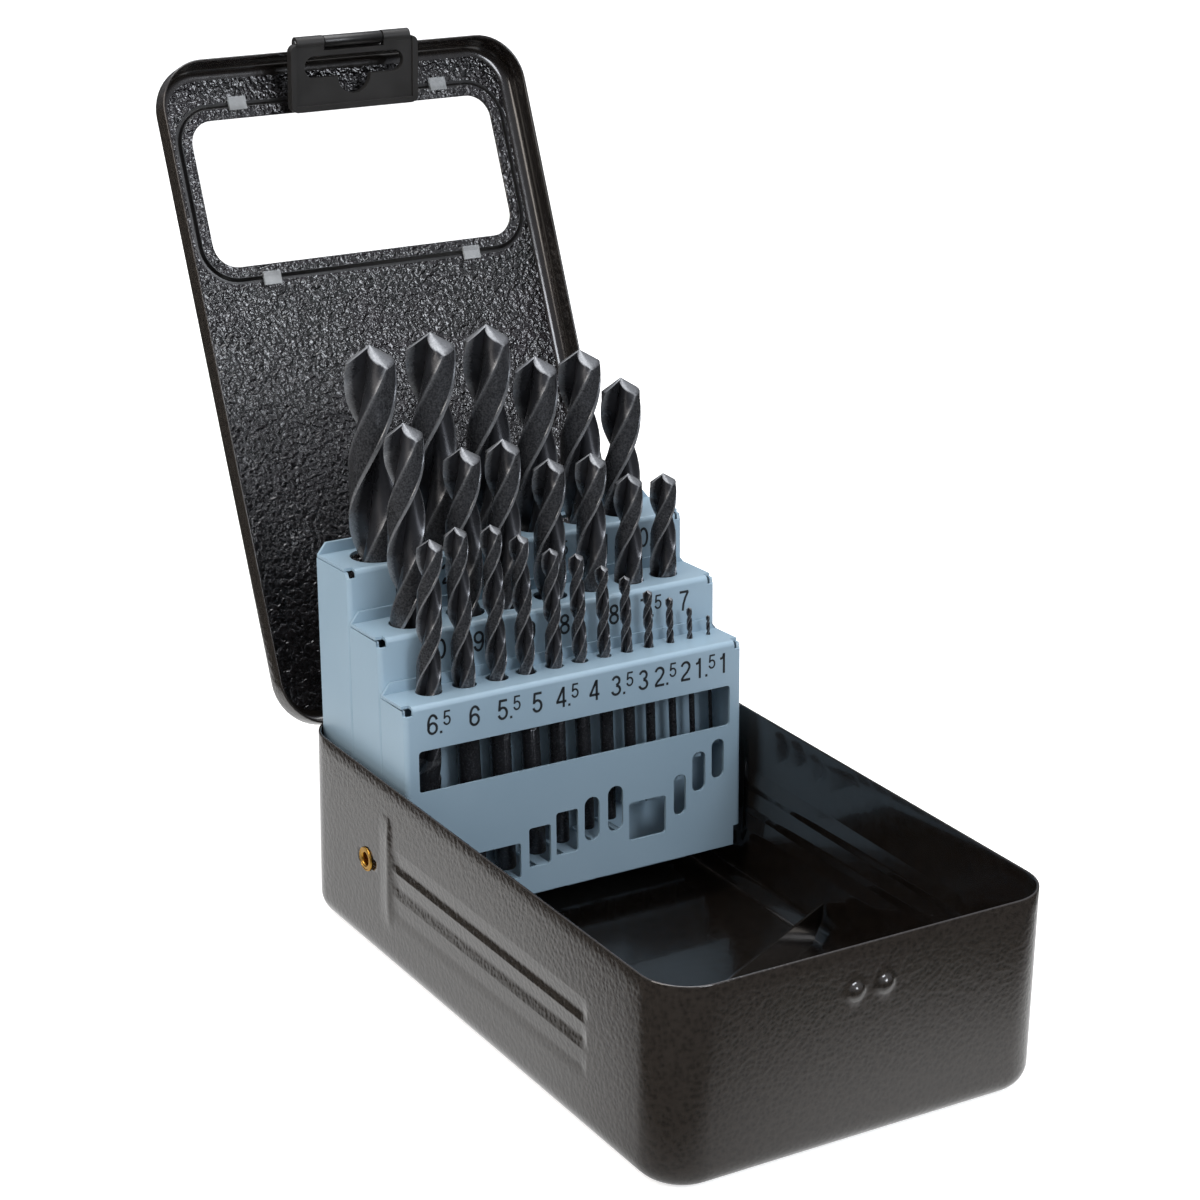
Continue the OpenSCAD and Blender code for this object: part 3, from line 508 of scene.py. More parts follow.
def lid_tray():
    """The lid's skin as one closed ring of rows: out from the window's edge over the border, the
    top, the edge's arc and the flange, round the lip, and back inside. A row is the window's
    outline plus an offset d, or the lid's outline at a radius q, at a height z."""
    shares_x, shares_y = np.linspace(-1, 1, 13), np.linspace(-1, 1, 25)
    cw, nw = outline(WINDOW_W, WINDOW_L, WINDOW_R, shares_x, shares_y, 12)
    cl, nl = outline(LID_W, LID_L, LID_R, shares_x, shares_y, 12)
    cw = cw + [0, WINDOW_Y]
    step = np.linspace(0, 1, 7)
    rise = BORDER_DEPTH * 0.5 * (1 - np.cos(np.pi * step))
    seat = TOP_Z - BORDER_DEPTH
    upper = np.concatenate(([[0.15, seat], [BORDER_W - 1.1, seat]],
                            np.column_stack((BORDER_W - 1.0 + step, seat + rise)),
                            [[BORDER_W + 0.6, TOP_Z]]))
    lower = upper[::-1] + [0.35, -SHEET]
    lower[-1, 0] = 0.15
    edge = LID_R - LID_EDGE
    tip = SHEET / 2
    outer = np.concatenate(([[edge - 0.5, TOP_Z]], arc(edge, TOP_Z - LID_EDGE, LID_EDGE, 90, 0, 9),
                            arc(LID_R - tip, LIP_Z + tip, tip, 0, -180, 7),
                            arc(edge, TOP_Z - LID_EDGE, LID_EDGE - SHEET, 0, 90, 9),
                            [[edge - 0.5, TOP_Z - SHEET]]))
    round_edge = np.array([[0, seat - 0.15], [0, seat - SHEET + 0.15]])
    rows = []
    for c, n, r, section in ((cw, nw, WINDOW_R, upper), (cl, nl, 0, outer),
                             (cw, nw, WINDOW_R, np.concatenate((lower, round_edge[::-1])))):
        rows += [np.column_stack((c + (r + q) * n, np.full(len(c), z))) for q, z in section]
    faces = quads(len(rows), len(cw), wrap_rows=True)[:, ::-1]
    row = faces.min(1) // len(cw)
    lip = len(upper) + 1 + 9 + 3
    fold = len(upper) + len(outer)
    kind = np.zeros(len(faces), int)
    kind[row >= lip] = 1
    kind[row >= fold - 1] = 2
    # Inner step round the window: flat black, partly pooled paint and partly painted shade in the
    # fold
    kind[(row >= fold) & (row < fold + 8)] = 3
    first = faces[:, 3] // len(cw) == 0
    kind[first] = np.where(row[first] > 0, 2, 0)
    return opened(np.array(rows).reshape(-1, 3)), faces.tolist(), kind


def bent_strip(path, width, centre, thickness=SHEET):
    """Sheet metal bent along a path of (y, z) points: each point moves half the thickness to
    both sides along the path's normal, and the closed section is carried across X."""
    path = np.asarray(path)
    along = np.gradient(path, axis=0)
    along /= np.linalg.norm(along, axis=1)[:, None]
    normal = np.column_stack((-along[:, 1], along[:, 0]))
    a, b = path + normal * thickness / 2, path - normal * thickness / 2
    ring = np.concatenate((a, [path[-1] + along[-1] * thickness * 0.3], b[::-1],
                           [path[0] - along[0] * thickness * 0.3]))
    middle = np.concatenate((path, [path[-1]], path[::-1], [path[0]]))
    inset = 0.15
    stations = [(-width / 2, inset), (-width / 2 + inset, 0), (width / 2 - inset, 0),
                (width / 2, inset)]
    rows = []
    for x, shrink in stations:
        section = middle + (ring - middle) * (1 - shrink / thickness)
        rows.append(np.column_stack((np.full(len(ring), centre + x), section)))
    count = len(ring)
    faces = quads(len(rows), count).tolist()
    last = (len(rows) - 1) * count
    faces += [list(range(count))[::-1], [last + i for i in range(count)]]
    return np.array(rows).reshape(-1, 3), faces


def rolled_path(side, axis, radius, start, end):
    """Middle line of a strip that runs down from the flange at the front (side -1) or the rear
    (side 1), and is then rolled round an axis (y, z) from one angle to another."""
    y = side * (LID_L / 2 - SHEET / 2)
    return np.concatenate(([[y, LIP_Z + 1.5], [y, axis[1] + 1]],
                           arc(*axis, radius - SHEET / 2, start, end, 26)))


points, faces, kind = lid_tray()
lid = piece("lid_tray", points, faces, "lid",
            [hammered_enamel, smooth_enamel, coarse_enamel, pooled_and_shade_enamel], kind)
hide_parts("lid_shell")

points, faces = bent_strip(rolled_path(-1, (LATCH_Y, LATCH_Z), CURL_R, 0, -300), CURL_W,
                           LATCH_X)
tongue = piece("latch_tongue", opened(points), faces, "lid", [pooled_and_shade_enamel])

ear_path = rolled_path(1, (HINGE_Y, HINGE_Z), KNUCKLE_R, 180, 480)
for side, centre in (("left", -EAR_X), ("right", EAR_X)):
    points, faces = bent_strip(ear_path, EAR_W, centre)
    ear = piece("hinge_ear_" + side, opened(points), faces, "lid", [hammered_enamel])

# ---- Window pane ----
# A sheet of clear polystyrene, moulded with four hooks that snap through slots in the lid's
# border. It shows as clean reflections, and its hooks on the lid's inner side are painted
# whitish as a stand-in for the light that the clear hooks catch.


def clear_polystyrene():
    """Clear moulded plastic: it lets nearly all light through, and reflects by its IOR."""
    material, tree, output, where = new_tree("clear_polystyrene")
    flow = add(tree, "ShaderNodeTexNoise", {"Vector": where, "Scale": 60.0, "Detail": 1.0})
    bump = add(tree, "ShaderNodeBump", {"Height": flow.outputs[0], "Strength": 0.15,
                                        "Distance": 0.0002})
    shader = add(tree, "ShaderNodeBsdfPrincipled", {
        "Base Color": linear("#ffffff"), "Roughness": 0.03, "IOR": 1.1,
        "Transmission Weight": 1.0, "Normal": bump.outputs[0]})
    clear = add(tree, "ShaderNodeBsdfTransparent", {"Color": linear("#ffffff")})
    mixed = add(tree, "ShaderNodeMixShader", {0: 0.9, 1: shader.outputs[0], 2: clear.outputs[0]})
    tree.links.new(mixed.outputs[0], output.inputs["Surface"])
    return material


# Polystyrene of the hooks: half clear, and painted whitish as a sheen that stands in for the
# light the clear hooks catch
hook_sheen, tree, output, where = new_tree("hook_sheen_polystyrene")
sheen_noise = add(tree, "ShaderNodeTexNoise", {"Vector": where, "Scale": 500.0, "Detail": 2.0})
tint = add(tree, "ShaderNodeValToRGB", {"Fac": sheen_noise.outputs[0]},
           stops=((0.0, "#a9adb0"), (1.0, "#d6dadc")))
shader = add(tree, "ShaderNodeBsdfPrincipled", {"Base Color": tint.outputs[0],
                                                "Roughness": 0.2, "IOR": 1.59})
clear = add(tree, "ShaderNodeBsdfTransparent", {"Color": linear("#ffffff")})
mixed = add(tree, "ShaderNodeMixShader", {0: 0.55, 1: shader.outputs[0], 2: clear.outputs[0]})
tree.links.new(mixed.outputs[0], output.inputs["Surface"])


def closed_height(points):
    """Height of the open lid's points once it is shut: z' = z cos a - y sin a, from the hinge."""
    y, z = points[:, 1] - HINGE_Y, points[:, 2] - HINGE_Z
    return HINGE_Z + z * math.cos(LID_OPEN) - y * math.sin(LID_OPEN)


pane = finished_copy("window_pane", "clear_pane", "lid", [clear_polystyrene(), hook_sheen], 0.1)
centres = np.zeros(3 * len(pane.data.polygons))
pane.data.polygons.foreach_get("center", centres)
hooked = closed_height(centres.reshape(-1, 3) * 1000) < TOP_Z - BORDER_DEPTH - 0.05
pane.data.polygons.foreach_set("material_index", hooked.astype(np.int32))

# ---- Hinge ----
# A pressed leaf spot welded to the rear wall, with three knuckles rolled round a drawn steel
# pin. The leaf went through the same hammered enamel as the base, the pin is zinc plated.

finished_copy("hinge_leaf", "hinge_leaf_enamelled", "base", [hammered_enamel])


def plated(name, colour, roughness, mottle):
    """Bright plated metal: full metallic, with a faint cloudy change of gloss."""
    material, tree, output, where = new_tree(name)
    cloud = add(tree, "ShaderNodeTexNoise", {"Vector": where, "Scale": 1000 / mottle,
                                             "Detail": 4.0})
    shine = add(tree, "ShaderNodeMapRange", {"Value": cloud.outputs[0], "From Min": 0.3,
                                             "From Max": 0.7, "To Min": roughness - 0.06,
                                             "To Max": roughness + 0.08})
    tint = add(tree, "ShaderNodeValToRGB", {"Fac": cloud.outputs[0]},
               stops=((0.0, colour[1]), (1.0, colour[0])))
    shader = add(tree, "ShaderNodeBsdfPrincipled", {
        "Base Color": tint.outputs[0], "Roughness": shine.outputs[0], "Metallic": 1.0})
    tree.links.new(shader.outputs[0], output.inputs["Surface"])
    return material


zinc_plate = plated("zinc_plated_steel", ("#c9ccce", "#aeb1b3"), 0.3, 3.0)
finished_copy("hinge_pin", "hinge_pin_plated", "base", [zinc_plate])

# ---- Latch ----
# A plate moulded from black polypropylene with a raised border and two barrels, snapped over a
# steel pin in the lid's tongue. Its slot lets it spring over the base's dimples.


def polypropylene():
    """Moulded polypropylene: black, matt from a fine spark-eroded grain 0.25 mm wide."""
    material, tree, output, where = new_tree("moulded_polypropylene")
    grain = add(tree, "ShaderNodeTexNoise", {"Vector": where, "Scale": 4000.0, "Detail": 2.0})
    sink = add(tree, "ShaderNodeTexNoise", {"Vector": where, "Scale": 120.0, "Detail": 1.0})
    bump = add(tree, "ShaderNodeBump", {"Height": grain.outputs[0], "Strength": 0.5,
                                        "Distance": 0.00003})
    shine = add(tree, "ShaderNodeMapRange", {"Value": sink.outputs[0], "From Min": 0.3,
                                             "From Max": 0.7, "To Min": 0.42, "To Max": 0.55})
    tint = add(tree, "ShaderNodeValToRGB", {"Fac": sink.outputs[0]},
               stops=((0.0, "#201f1e"), (1.0, "#2a2928")))
    shader = add(tree, "ShaderNodeBsdfPrincipled", {
        "Base Color": tint.outputs[0], "Roughness": shine.outputs[0], "IOR": 1.49,
        "Normal": bump.outputs[0]})
    tree.links.new(shader.outputs[0], output.inputs["Surface"])
    return material


finished_copy("latch", "latch_moulded", "latch", [polypropylene()], 0.35, 3)
finished_copy("latch_pin", "latch_pin_plated", "lid", [zinc_plate])

# ---- Rack ----
# Three stepped tiers folded from 0.8 mm steel sheet and a floor plate, welded together and
# lacquered light blue-grey. The drills stand in punched holes, the short ones on lanced tabs.

FACES = (-16.1, -3.4, 12.3)
TOPS = (44.0, 58.2, 71.8)
RACK_LEAN = math.radians(-2.5)
RACK_PLATE_X = 47.8
RELIEF_L, RELIEF_DROP = 1.35, 2.3
PLATE_GAP = 0.95


def rack_lacquer():
    """Satin lacquer on sheet steel: blue-grey, its tint and gloss slightly cloudy."""
    material, tree, output, where = new_tree("satin_rack_lacquer")
    peel = add(tree, "ShaderNodeTexNoise", {"Vector": where, "Scale": 900.0, "Detail": 2.0})
    cloud = add(tree, "ShaderNodeTexNoise", {"Vector": where, "Scale": 45.0, "Detail": 3.0})
    bump = add(tree, "ShaderNodeBump", {"Height": peel.outputs[0], "Strength": 0.25,
                                        "Distance": 0.00006})
    tint = add(tree, "ShaderNodeValToRGB", {"Fac": cloud.outputs[0]},
               stops=((0.0, "#8fa8b9"), (1.0, "#9ab2c2")))
    shine = add(tree, "ShaderNodeMapRange", {"Value": cloud.outputs[0], "From Min": 0.3,
                                             "From Max": 0.7, "To Min": 0.3, "To Max": 0.42})
    shader = add(tree, "ShaderNodeBsdfPrincipled", {
        "Base Color": tint.outputs[0], "Roughness": shine.outputs[0], "IOR": 1.5,
        "Coat Weight": 0.2, "Coat Roughness": 0.2, "Normal": bump.outputs[0]})
    tree.links.new(shader.outputs[0], output.inputs["Surface"])
    return material


lacquer = rack_lacquer()


def on_rack(points):
    """Points drawn about the pivot, with the rack upright, leaned back and moved to the pivot."""
    c, s = math.cos(RACK_LEAN), math.sin(RACK_LEAN)
    y, z = points[..., 1], points[..., 2]
    return np.stack((points[..., 0], PIVOT_Y + c * y - s * z, PIVOT_Z + s * y + c * z), -1)


def off_rack(points):
    """The way back from on_rack: points moved from the pivot and stood upright again."""
    c, s = math.cos(RACK_LEAN), math.sin(RACK_LEAN)
    y, z = points[..., 1] - PIVOT_Y, points[..., 2] - PIVOT_Z
    return np.stack((points[..., 0], c * y + s * z, c * z - s * y), -1)


def close_corner(obj, face, top):
    """Lifts a side plate's upper edge to just under the top flange, behind the relief hole."""
    co = np.zeros(3 * len(obj.data.vertices))
    obj.data.vertices.foreach_get("co", co)
    local = off_rack(co.reshape(-1, 3) * 1000)
    edge = (np.abs(local[:, 0]) > RACK_PLATE_X) & (local[:, 1] > face + RELIEF_L)
    edge &= np.abs(local[:, 2] - (top - RELIEF_DROP)) < 0.4
    local[edge, 2] = top - PLATE_GAP
    obj.data.vertices.foreach_set("co", (on_rack(local) / 1000).ravel())
    obj.data.update()


for node, face, top in zip(("front", "middle", "rear"), FACES, TOPS):
    name = "rack_%s_tier" % node
    tier = finished_copy(name, name + "_lacquered", "rack", [lacquer], 0.26, 3)
    close_corner(tier, face, top)
finished_copy("rack_floor_plate", "rack_floor_lacquered", "rack", [lacquer])

# ---- Size numbers ----
# Each hole's drill size in millimetres, printed in black ink on the tier's front plate under
# the bend, with a low point and a small raised 5 for the half sizes.

NUMBER_H = 5.4
HALF_H = 3.9
NUMBER_DROP = 8.05
STROKE = 0.125
DIGIT_W = 0.56
INK_T = 0.015
NUMBERS = (
    ("front", FACES[0], TOPS[0], (("6.5", -39.9), ("6", -29.9), ("5.5", -20.1), ("5", -12.0),
                                  ("4.5", -3.3), ("4", 4.6), ("3.5", 12.9), ("3", 19.2),
                                  ("2.5", 25.9), ("2", 32.0), ("1.5", 38.1), ("1", 43.3))),
    ("middle", FACES[1], TOPS[1], (("10", -33.5), ("9.5", -19.5), ("9", -6.4), ("8.5", 5.5),
                                   ("8", 18.4), ("7.5", 29.6), ("7", 39.8))),
    ("rear", FACES[2], TOPS[2], (("13", -34.0), ("12.5", -21.0), ("12", -4.5), ("11.5", 9.5),
                                 ("11", 23.7), ("10.5", 37.6))))

# Screen-printed ink: black, a little flatter than the lacquer under it
ink, tree, output, where = new_tree("screen_printed_ink")
wear = add(tree, "ShaderNodeTexNoise", {"Vector": where, "Scale": 1800.0, "Detail": 3.0})
tint = add(tree, "ShaderNodeValToRGB", {"Fac": wear.outputs[0]},
           stops=((0.0, "#16181b"), (1.0, "#2a2e33")))
shader = add(tree, "ShaderNodeBsdfPrincipled", {"Base Color": tint.outputs[0],
                                                "Roughness": 0.45, "IOR": 1.5})
tree.links.new(shader.outputs[0], output.inputs["Surface"])


def bow(cx, cz, rx, rz, a0, a1, count=19):
    """Points of an elliptical arc: x = cx + rx cos a, z = cz + rz sin a."""
    a = np.radians(np.linspace(a0, a1, count))
    return np.column_stack((cx + rx * np.cos(a), cz + rz * np.sin(a)))


def digit(character):
    """Centre lines of a plain grotesque digit, one unit high and DIGIT_W wide, as polylines."""
    low, high, mid = STROKE / 2, 1 - STROKE / 2, DIGIT_W / 2
    wide = mid - STROKE / 2
    six = [bow(mid, 0.31, wide, 0.31 - low, 0, 360, 33),
           bow(mid + 0.02, 0.5, wide + 0.02, 0.5 - low, 205, 28)]
    lines = {
        ".": [[(0.02, low), (0.02 + STROKE, low)]],
        "0": [bow(mid, 0.5, wide, 0.5 - low, 0, 360, 33)],
        "1": [[(0.34, 0), (0.34, 1)], [(0.12, 0.745), (0.24, 0.77), (0.305, 0.85), (0.33, 0.97)]],
        "2": [np.concatenate((bow(mid, 0.71, wide, 0.71 - 0.485, 170, -25),
                              [(0.36, 0.43), (0.18, 0.27), (0.09, 0.15), (0.065, low)])),
              [(0.03, low), (DIGIT_W - 0.02, low)]],
        "3": [bow(mid - 0.01, 0.74, wide - 0.03, high - 0.74, 165, -90),
              bow(mid - 0.01, 0.28, wide, 0.28 - low, 90, -170)],
        "4": [[(0.41, 0), (0.41, 1)], [(0.40, 0.97), (0.05, 0.28)], [(0.01, 0.28), (0.56, 0.28)]],
        "5": [[(0.12, high), (0.51, high)], [(0.14, 0.99), (0.09, 0.45)],
              bow(mid - 0.01, 0.33, wide, 0.33 - low, 140, -165)],
        "6": six,
        "7": [[(0.04, high), (0.54, high)], [(0.52, 0.93), (0.37, 0.66), (0.26, 0.34), (0.22, 0)]],
        "8": [bow(mid, 0.745, wide - 0.03, high - 0.745, 0, 360, 33),
              bow(mid, 0.285, wide, 0.285 - low, 0, 360, 33)],
        "9": [[DIGIT_W, 1] - line for line in six]}
    return [np.asarray(line, float) for line in lines[character]]


def glyphs(text, height):
    """Flat digits as mesh arrays: each centre line is widened by half a stroke to both sides
    along its normal. Returns points (x, z) in mm and faces."""
    points, faces, start, pen = [], [], 0, 0.0
    for character in text:
        for line in digit(character):
            along = np.gradient(line, axis=0)
            along /= np.linalg.norm(along, axis=1)[:, None]
            side = np.column_stack((-along[:, 1], along[:, 0])) * STROKE / 2
            points.append(np.concatenate((line + side, line - side)) + [pen, 0])
            count = len(line)
            faces += [[start + i, start + count + i, start + count + i + 1, start + i + 1]
                      for i in range(count - 1)]
            start += 2 * count
        pen += (STROKE + 0.09) if character == "." else DIGIT_W + 0.07
    return np.concatenate(points) * height, faces


def number_print(face, top, numbers):
    """The row of numbers just proud of a front plate: digits, then a small raised 5."""
    all_points, all_faces, start = [], [], 0
    for text, centre in numbers:
        whole, point, half = text.partition(".")
        parts = [(whole + point, NUMBER_H, 0.0)]
        if half:
            parts.append((half, HALF_H, NUMBER_H - HALF_H + 0.3))
        pen, made = 0.0, []
        for body, height, lift in parts:
            flat, faces = glyphs(body, height)
            flat = flat - [flat[:, 0].min() - pen, 0] + [0, lift]
            pen = flat[:, 0].max() + 0.3
            made.append((flat, faces))
        shift = centre - (pen - 0.3) / 2
        for flat, faces in made:
            flat = flat + [shift, top - NUMBER_DROP]
            all_points.append(np.column_stack((flat[:, 0], np.full(len(flat), face - INK_T),
                                               flat[:, 1])))
            all_faces += [[start + v for v in f] for f in faces]
            start += len(flat)
    return on_rack(np.concatenate(all_points)), all_faces


for row, face, top, numbers in NUMBERS:
    points, faces = number_print(face, top, numbers)
    printed = piece("numbers_" + row, points, faces, "rack", [ink])

# ---- Pivots ----
# Brass eyelets, their tubes rolled over on both ends, pass through the base's wall, a plain
# steel spacer and the rack's side plate, so that the rack swings on them.

EYELET_R, EYELET_T, EYELET_FLANGE = 2.0, 0.3, 3.2
RACK_HALF = 49.3

brass = plated("drawn_brass", ("#d3a44c", "#b98a38"), 0.28, 2.0)
spacer_steel = plated("blackened_steel", ("#55585c", "#3e4144"), 0.4, 3.0)


def revolved(section, side, turn=48):
    """A closed section of (x, r) points turned about the pivot: y = r cos a, z = r sin a."""
    section = np.asarray(section)
    a = np.linspace(0, 2 * np.pi, turn, endpoint=False)
    x = side * section[:, 0, None] + 0 * a
    y = PIVOT_Y + section[:, 1, None] * np.cos(a)
    z = PIVOT_Z + section[:, 1, None] * np.sin(a)
    faces = quads(len(section), turn, wrap_rows=True)
    return np.stack((x, y, z), -1).reshape(-1, 3), (faces if side > 0 else faces[:, ::-1])


def eyelet_section():
    """Tube with a quarter-round rolled flange outside and a small roll inside."""
    out_x, in_x = BASE_W / 2, RACK_HALF - 0.8 - 0.25
    bore = EYELET_R - EYELET_T
    roll = arc(0, 0, 1, 90, -90, 7)
    flange = np.column_stack((out_x + 0.25 + 0.25 * roll[:, 0], EYELET_FLANGE - 0.25
                              + 0.25 * roll[:, 1]))
    throat = np.column_stack((out_x + 0.5 - 0.5 * (1 - np.sin(np.linspace(np.pi / 2, 0, 6))),
                              bore + 0.5 * (1 - np.cos(np.linspace(np.pi / 2, 0, 6)))))
    inner = [[in_x - 0.5, bore], [in_x - 0.5, EYELET_R + 0.3], [in_x, EYELET_R + 0.3],
             [in_x, EYELET_R], [out_x, EYELET_R]]
    return np.concatenate((inner, [[out_x, EYELET_FLANGE - 0.25]], flange[::-1][1:], throat))


def spacer_section():
    """Plain ring with small chamfers, between the wall and the rack."""
    a, b, r0, r1, c = RACK_HALF + 0.1, RACK_HALF + 2.9, EYELET_R + 0.05, EYELET_FLANGE + 1, 0.2
    return [[a, r0], [a, r1 - c], [a + c, r1], [b - c, r1], [b, r1 - c], [b, r0]]


for name, side in (("left", -1), ("right", 1)):
    points, faces = revolved(eyelet_section(), side)
    eyelet = piece("eyelet_brass_" + name, points, faces, "base", [brass])
    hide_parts("eyelet_" + name)
    points, faces = revolved(spacer_section(), side)
    ring = piece("spacer_ring_" + name, points, faces, "base", [spacer_steel])
    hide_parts("spacer_" + name)

# ---- Drills ----
# Twist drills rolled or ground from high-speed steel and steam-treated to a black oxide, which
# wears bright on the narrow margins, the lips and the ground point. The heels and lands are
# painted lighter as sheen, and the flutes darker in their middle as painted shade. Shanks are
# as thick as the flutes are wide, and the flutes run out in a U where the cutter left the steel.

HELIX = math.radians(30)
POINT = math.radians(59)
FLUTES = {1: 12, 1.5: 18, 2: 24, 2.5: 29.5, 3: 33, 3.5: 38.5, 4: 42.5, 4.5: 46.5, 5: 51.5,
          5.5: 56, 6: 56, 6.5: 62, 7: 68, 7.5: 69, 8: 74, 8.5: 74.5, 9: 80, 9.5: 79.5, 10: 86,
          10.5: 85, 11: 92, 11.5: 92, 12: 99.5, 12.5: 99.5, 13: 99.5}
WEB = 0.2
HEEL_R = 0.955
LIP_ANGLE = 76.0
MARGIN = 9.0
FLUTE_MIDDLE = 128.0
FLUTE_FACES = -128.0
TIP_REACH = 0.75
PHASE_SPREAD = 9


def black_oxide():
    """Steam-oxidised steel: charcoal, satin, bright where the attribute wear_and_sheen nears 1:
    worn margins, lips and point, and painted sheen on heels and lands.
    """
    material, tree, output, where = new_tree("black_oxide_steel")
    wear_and_sheen = add(tree, "ShaderNodeAttribute", attribute_name="wear_and_sheen").outputs["Fac"]
    cloud = add(tree, "ShaderNodeTexNoise", {"Vector": where, "Scale": 180.0, "Detail": 3.0})
    streak = add(tree, "ShaderNodeTexNoise", {"Vector": where, "Scale": 2200.0, "Detail": 2.0})
    oxide = add(tree, "ShaderNodeValToRGB", {"Fac": cloud.outputs[0]},
                stops=((0.3, "#2d2e31"), (0.7, "#37383c")))
    worn = add(tree, "ShaderNodeMath", {0: streak.outputs[0], 1: 0.4, 2: wear_and_sheen},
               operation="MULTIPLY_ADD")
    share = add(tree, "ShaderNodeMapRange", {"Value": worn.outputs[0], "From Min": 0.34,
                                             "From Max": 1.1, "To Min": 0.0, "To Max": 1.0})
    colour = add(tree, "ShaderNodeMix", {0: share.outputs[0]}, data_type="RGBA")
    tree.links.new(oxide.outputs[0], colour.inputs[6])
    colour.inputs[7].default_value = linear("#b0b3b7")
    shine = add(tree, "ShaderNodeMapRange", {"Value": cloud.outputs[0], "From Min": 0.3,
                                             "From Max": 0.7, "To Min": 0.24, "To Max": 0.34})
    bump = add(tree, "ShaderNodeBump", {"Height": streak.outputs[0], "Strength": 0.1,
                                        "Distance": 0.00003})
    shader = add(tree, "ShaderNodeBsdfPrincipled", {
        "Base Color": colour.outputs[2], "Roughness": shine.outputs[0], "Metallic": 0.55,
        "Normal": bump.outputs[0]})
    tree.links.new(shader.outputs[0], output.inputs["Surface"])
    return material


def drill_section():
    """Half of a fluted section for a radius of 1, counter-clockwise from the heel: the relieved
    land, the margin at full radius, the lip's face down to the web and the flute up to the next
    heel. Returns angles in degrees, radii, and how light each point is: the margin worn bright,
    the heel and land lighter as painted sheen, the flute darkest in its middle as painted shade."""
    land = np.linspace(0, LIP_ANGLE - MARGIN - 2, 8)
    margin = np.linspace(LIP_ANGLE - MARGIN, LIP_ANGLE, 4)
    u = np.linspace(0, 1, 24)[1:-1]
    dip = np.sin(np.pi * u ** 0.6) ** 0.8
    rim = 1 - (1 - HEEL_R) * u
    angle = np.concatenate((land, margin, LIP_ANGLE + (180 - LIP_ANGLE) * u ** 1.5))
    radius = np.concatenate((np.full(8, HEEL_R), np.ones(4), rim - (rim - WEB) * dip))
    # Heel and land painted lighter as sheen, margin worn bright, flute painted darker towards its
    # middle as shade
    wear_and_sheen = np.concatenate(([0.42], np.full(7, 0.2), [0.42, 0.6, 0.6, 0.62],
                             0.15 * (1 - dip) ** 2))
    return angle, radius, wear_and_sheen


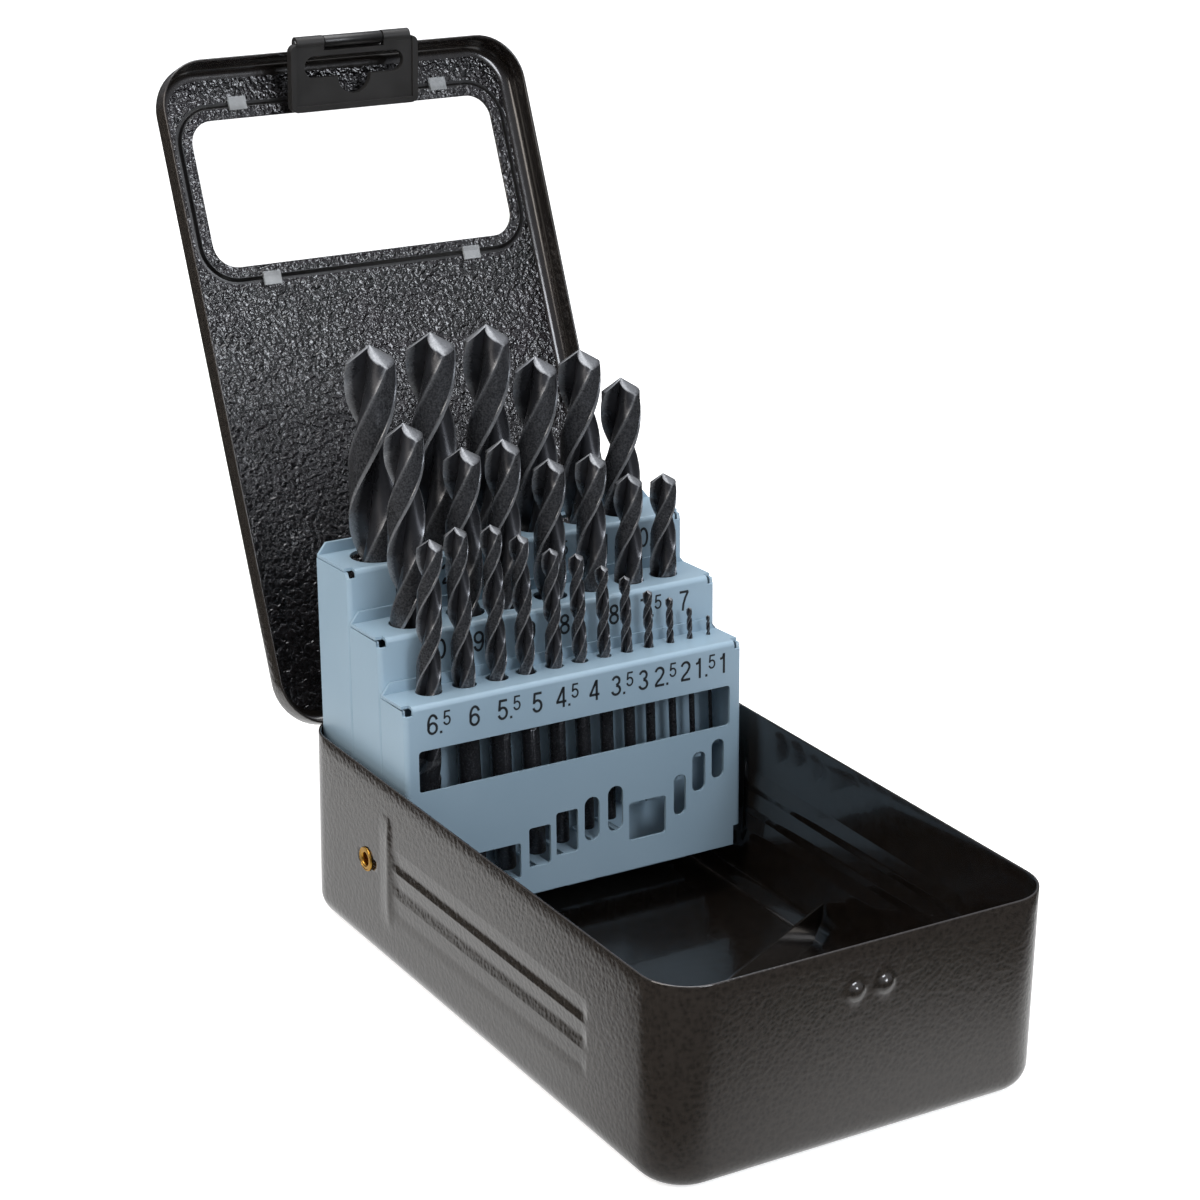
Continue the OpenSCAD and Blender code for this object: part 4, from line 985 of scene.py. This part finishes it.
def twist_drill(d, total, flute):
    """Grid of a drill standing on its shank: a point is (r cos a, r sin a, z) with the section's
    angle turned by z tan(helix) / R. Near the shank r rises by the cutter's parabola until it
    meets the circle; at the tip each column ends on the point's cone, which falls behind the
    lip by its relief, and closes to the axis."""
    angle, radius, wear_and_sheen = drill_section()
    angle = np.radians(np.concatenate((angle, angle + 180)))
    radius, wear_and_sheen = np.tile(radius, 2), np.tile(wear_and_sheen, 2)
    r0 = d / 2
    start = total - flute
    run_out = 0.9 * d
    turn = flute * math.tan(HELIX) / r0
    rows = max(24, int(turn / math.radians(11)))
    behind = np.degrees(angle) % 180
    gap = np.where(behind <= LIP_ANGLE, LIP_ANGLE - behind,
                   np.where(behind < LIP_ANGLE + 20, 0, 180 + LIP_ANGLE - behind))
    relief = radius * r0 * np.radians(gap) * 0.2
    relief = np.minimum(relief, 0.3 * r0)
    end = total - radius * r0 / math.tan(POINT) - relief
    shank_z = np.array([0, 0.08 * d, 0.5 * start, start])
    shank_r = np.array([0.92, 0.995, 0.995, 0.995]) * r0
    near = start + run_out * np.linspace(0.08, 1, 10)
    z = np.concatenate((np.repeat(near[:, None], len(angle), 1),
                        near[-1] + (end[None, :] - near[-1]) * np.linspace(0, 1, rows)[1:, None]))
    left = np.clip(1 - (z - start) / run_out, 0, 1)
    r = np.minimum(1, radius + (1 - WEB) * left ** 2) * r0
    shine = wear_and_sheen * np.ones_like(z)
    shine = np.where(left > 0, np.maximum(0.3 * (r < r0 * 0.999), shine * (1 - left)), shine)
    cone = np.linspace(1, 0, 7)[1:-1, None]
    r_tip, z_tip = cone * radius * r0, total - cone * (total - end)
    r = np.concatenate((np.repeat(shank_r[:, None], len(angle), 1), r, r_tip))
    z = np.concatenate((np.repeat(shank_z[:, None], len(angle), 1), z, z_tip))
    flank = np.where(gap > 1, 0.5, 0.75)
    shine = np.concatenate((np.full((4, len(angle)), 0.14), shine, flank * np.ones_like(r_tip)))
    twist = np.clip(z - start, 0, None) * math.tan(HELIX) / r0
    tip_rows = len(cone)
    twist[-tip_rows:] = twist[-tip_rows - 1]
    a = angle + twist
    points = np.stack((r * np.cos(a), r * np.sin(a), z), -1).reshape(-1, 3)
    count = len(angle)
    faces = quads(len(r), count).tolist()
    apex = len(points)
    last = apex - count
    faces += [list(range(count))[::-1]]
    faces += [[last + i, last + (i + 1) % count, apex] for i in range(count)]
    return (np.concatenate((points, [[0, 0, total]])), faces,
            np.concatenate((shine.ravel(), [0.6])))


def drill_axis(node):
    """Where a CAD drill stands: the middle of its foot's ring of points, and the direction from
    there to its tip. The search starts along the rack's upright, so that the ring is whole."""
    co = np.array([v.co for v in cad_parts[node].data.vertices]) * 1000
    axis = on_rack(np.array([0, 0, 1.0])) - on_rack(np.zeros(3))
    for _ in range(3):
        along = co @ axis
        low = np.unique(np.round(co[along < along.min() + 0.3], 3), axis=0).mean(0)
        high = np.unique(np.round(co[along > along.max() - 0.02], 3), axis=0).mean(0)
        axis = (high - low) / np.linalg.norm(high - low)
    return low, axis, float(np.linalg.norm(high - low))


def stood(points, low, axis, phase):
    """Points of an upright drill turned by the phase, tilted onto the axis and moved to low."""
    side = np.cross([0, 1.0, 0], axis)
    side /= np.linalg.norm(side)
    other = np.cross(axis, side)
    c, s = math.cos(phase), math.sin(phase)
    x, y = c * points[:, 0] - s * points[:, 1], s * points[:, 0] + c * points[:, 1]
    return low + x[:, None] * side + y[:, None] * other + points[:, 2:] * axis


oxide = black_oxide()
for number, (size, flute) in enumerate(FLUTES.items()):
    node = "drill_%d_%d" % (size, round(10 * (size % 1)))
    low, axis, total = drill_axis(node)
    points, faces, shine = twist_drill(size, total, flute)
    turned = (flute / (size / 2) - TIP_REACH) * math.tan(HELIX)
    stray = PHASE_SPREAD * math.sin(2.1 * number)
    phase = math.radians(FLUTE_FACES - FLUTE_MIDDLE + stray) - turned
    drill = piece("twist_" + node, stood(points, low, axis, phase), faces, "rack", [oxide],
                  attribute={"wear_and_sheen": shine})
    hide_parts(node)
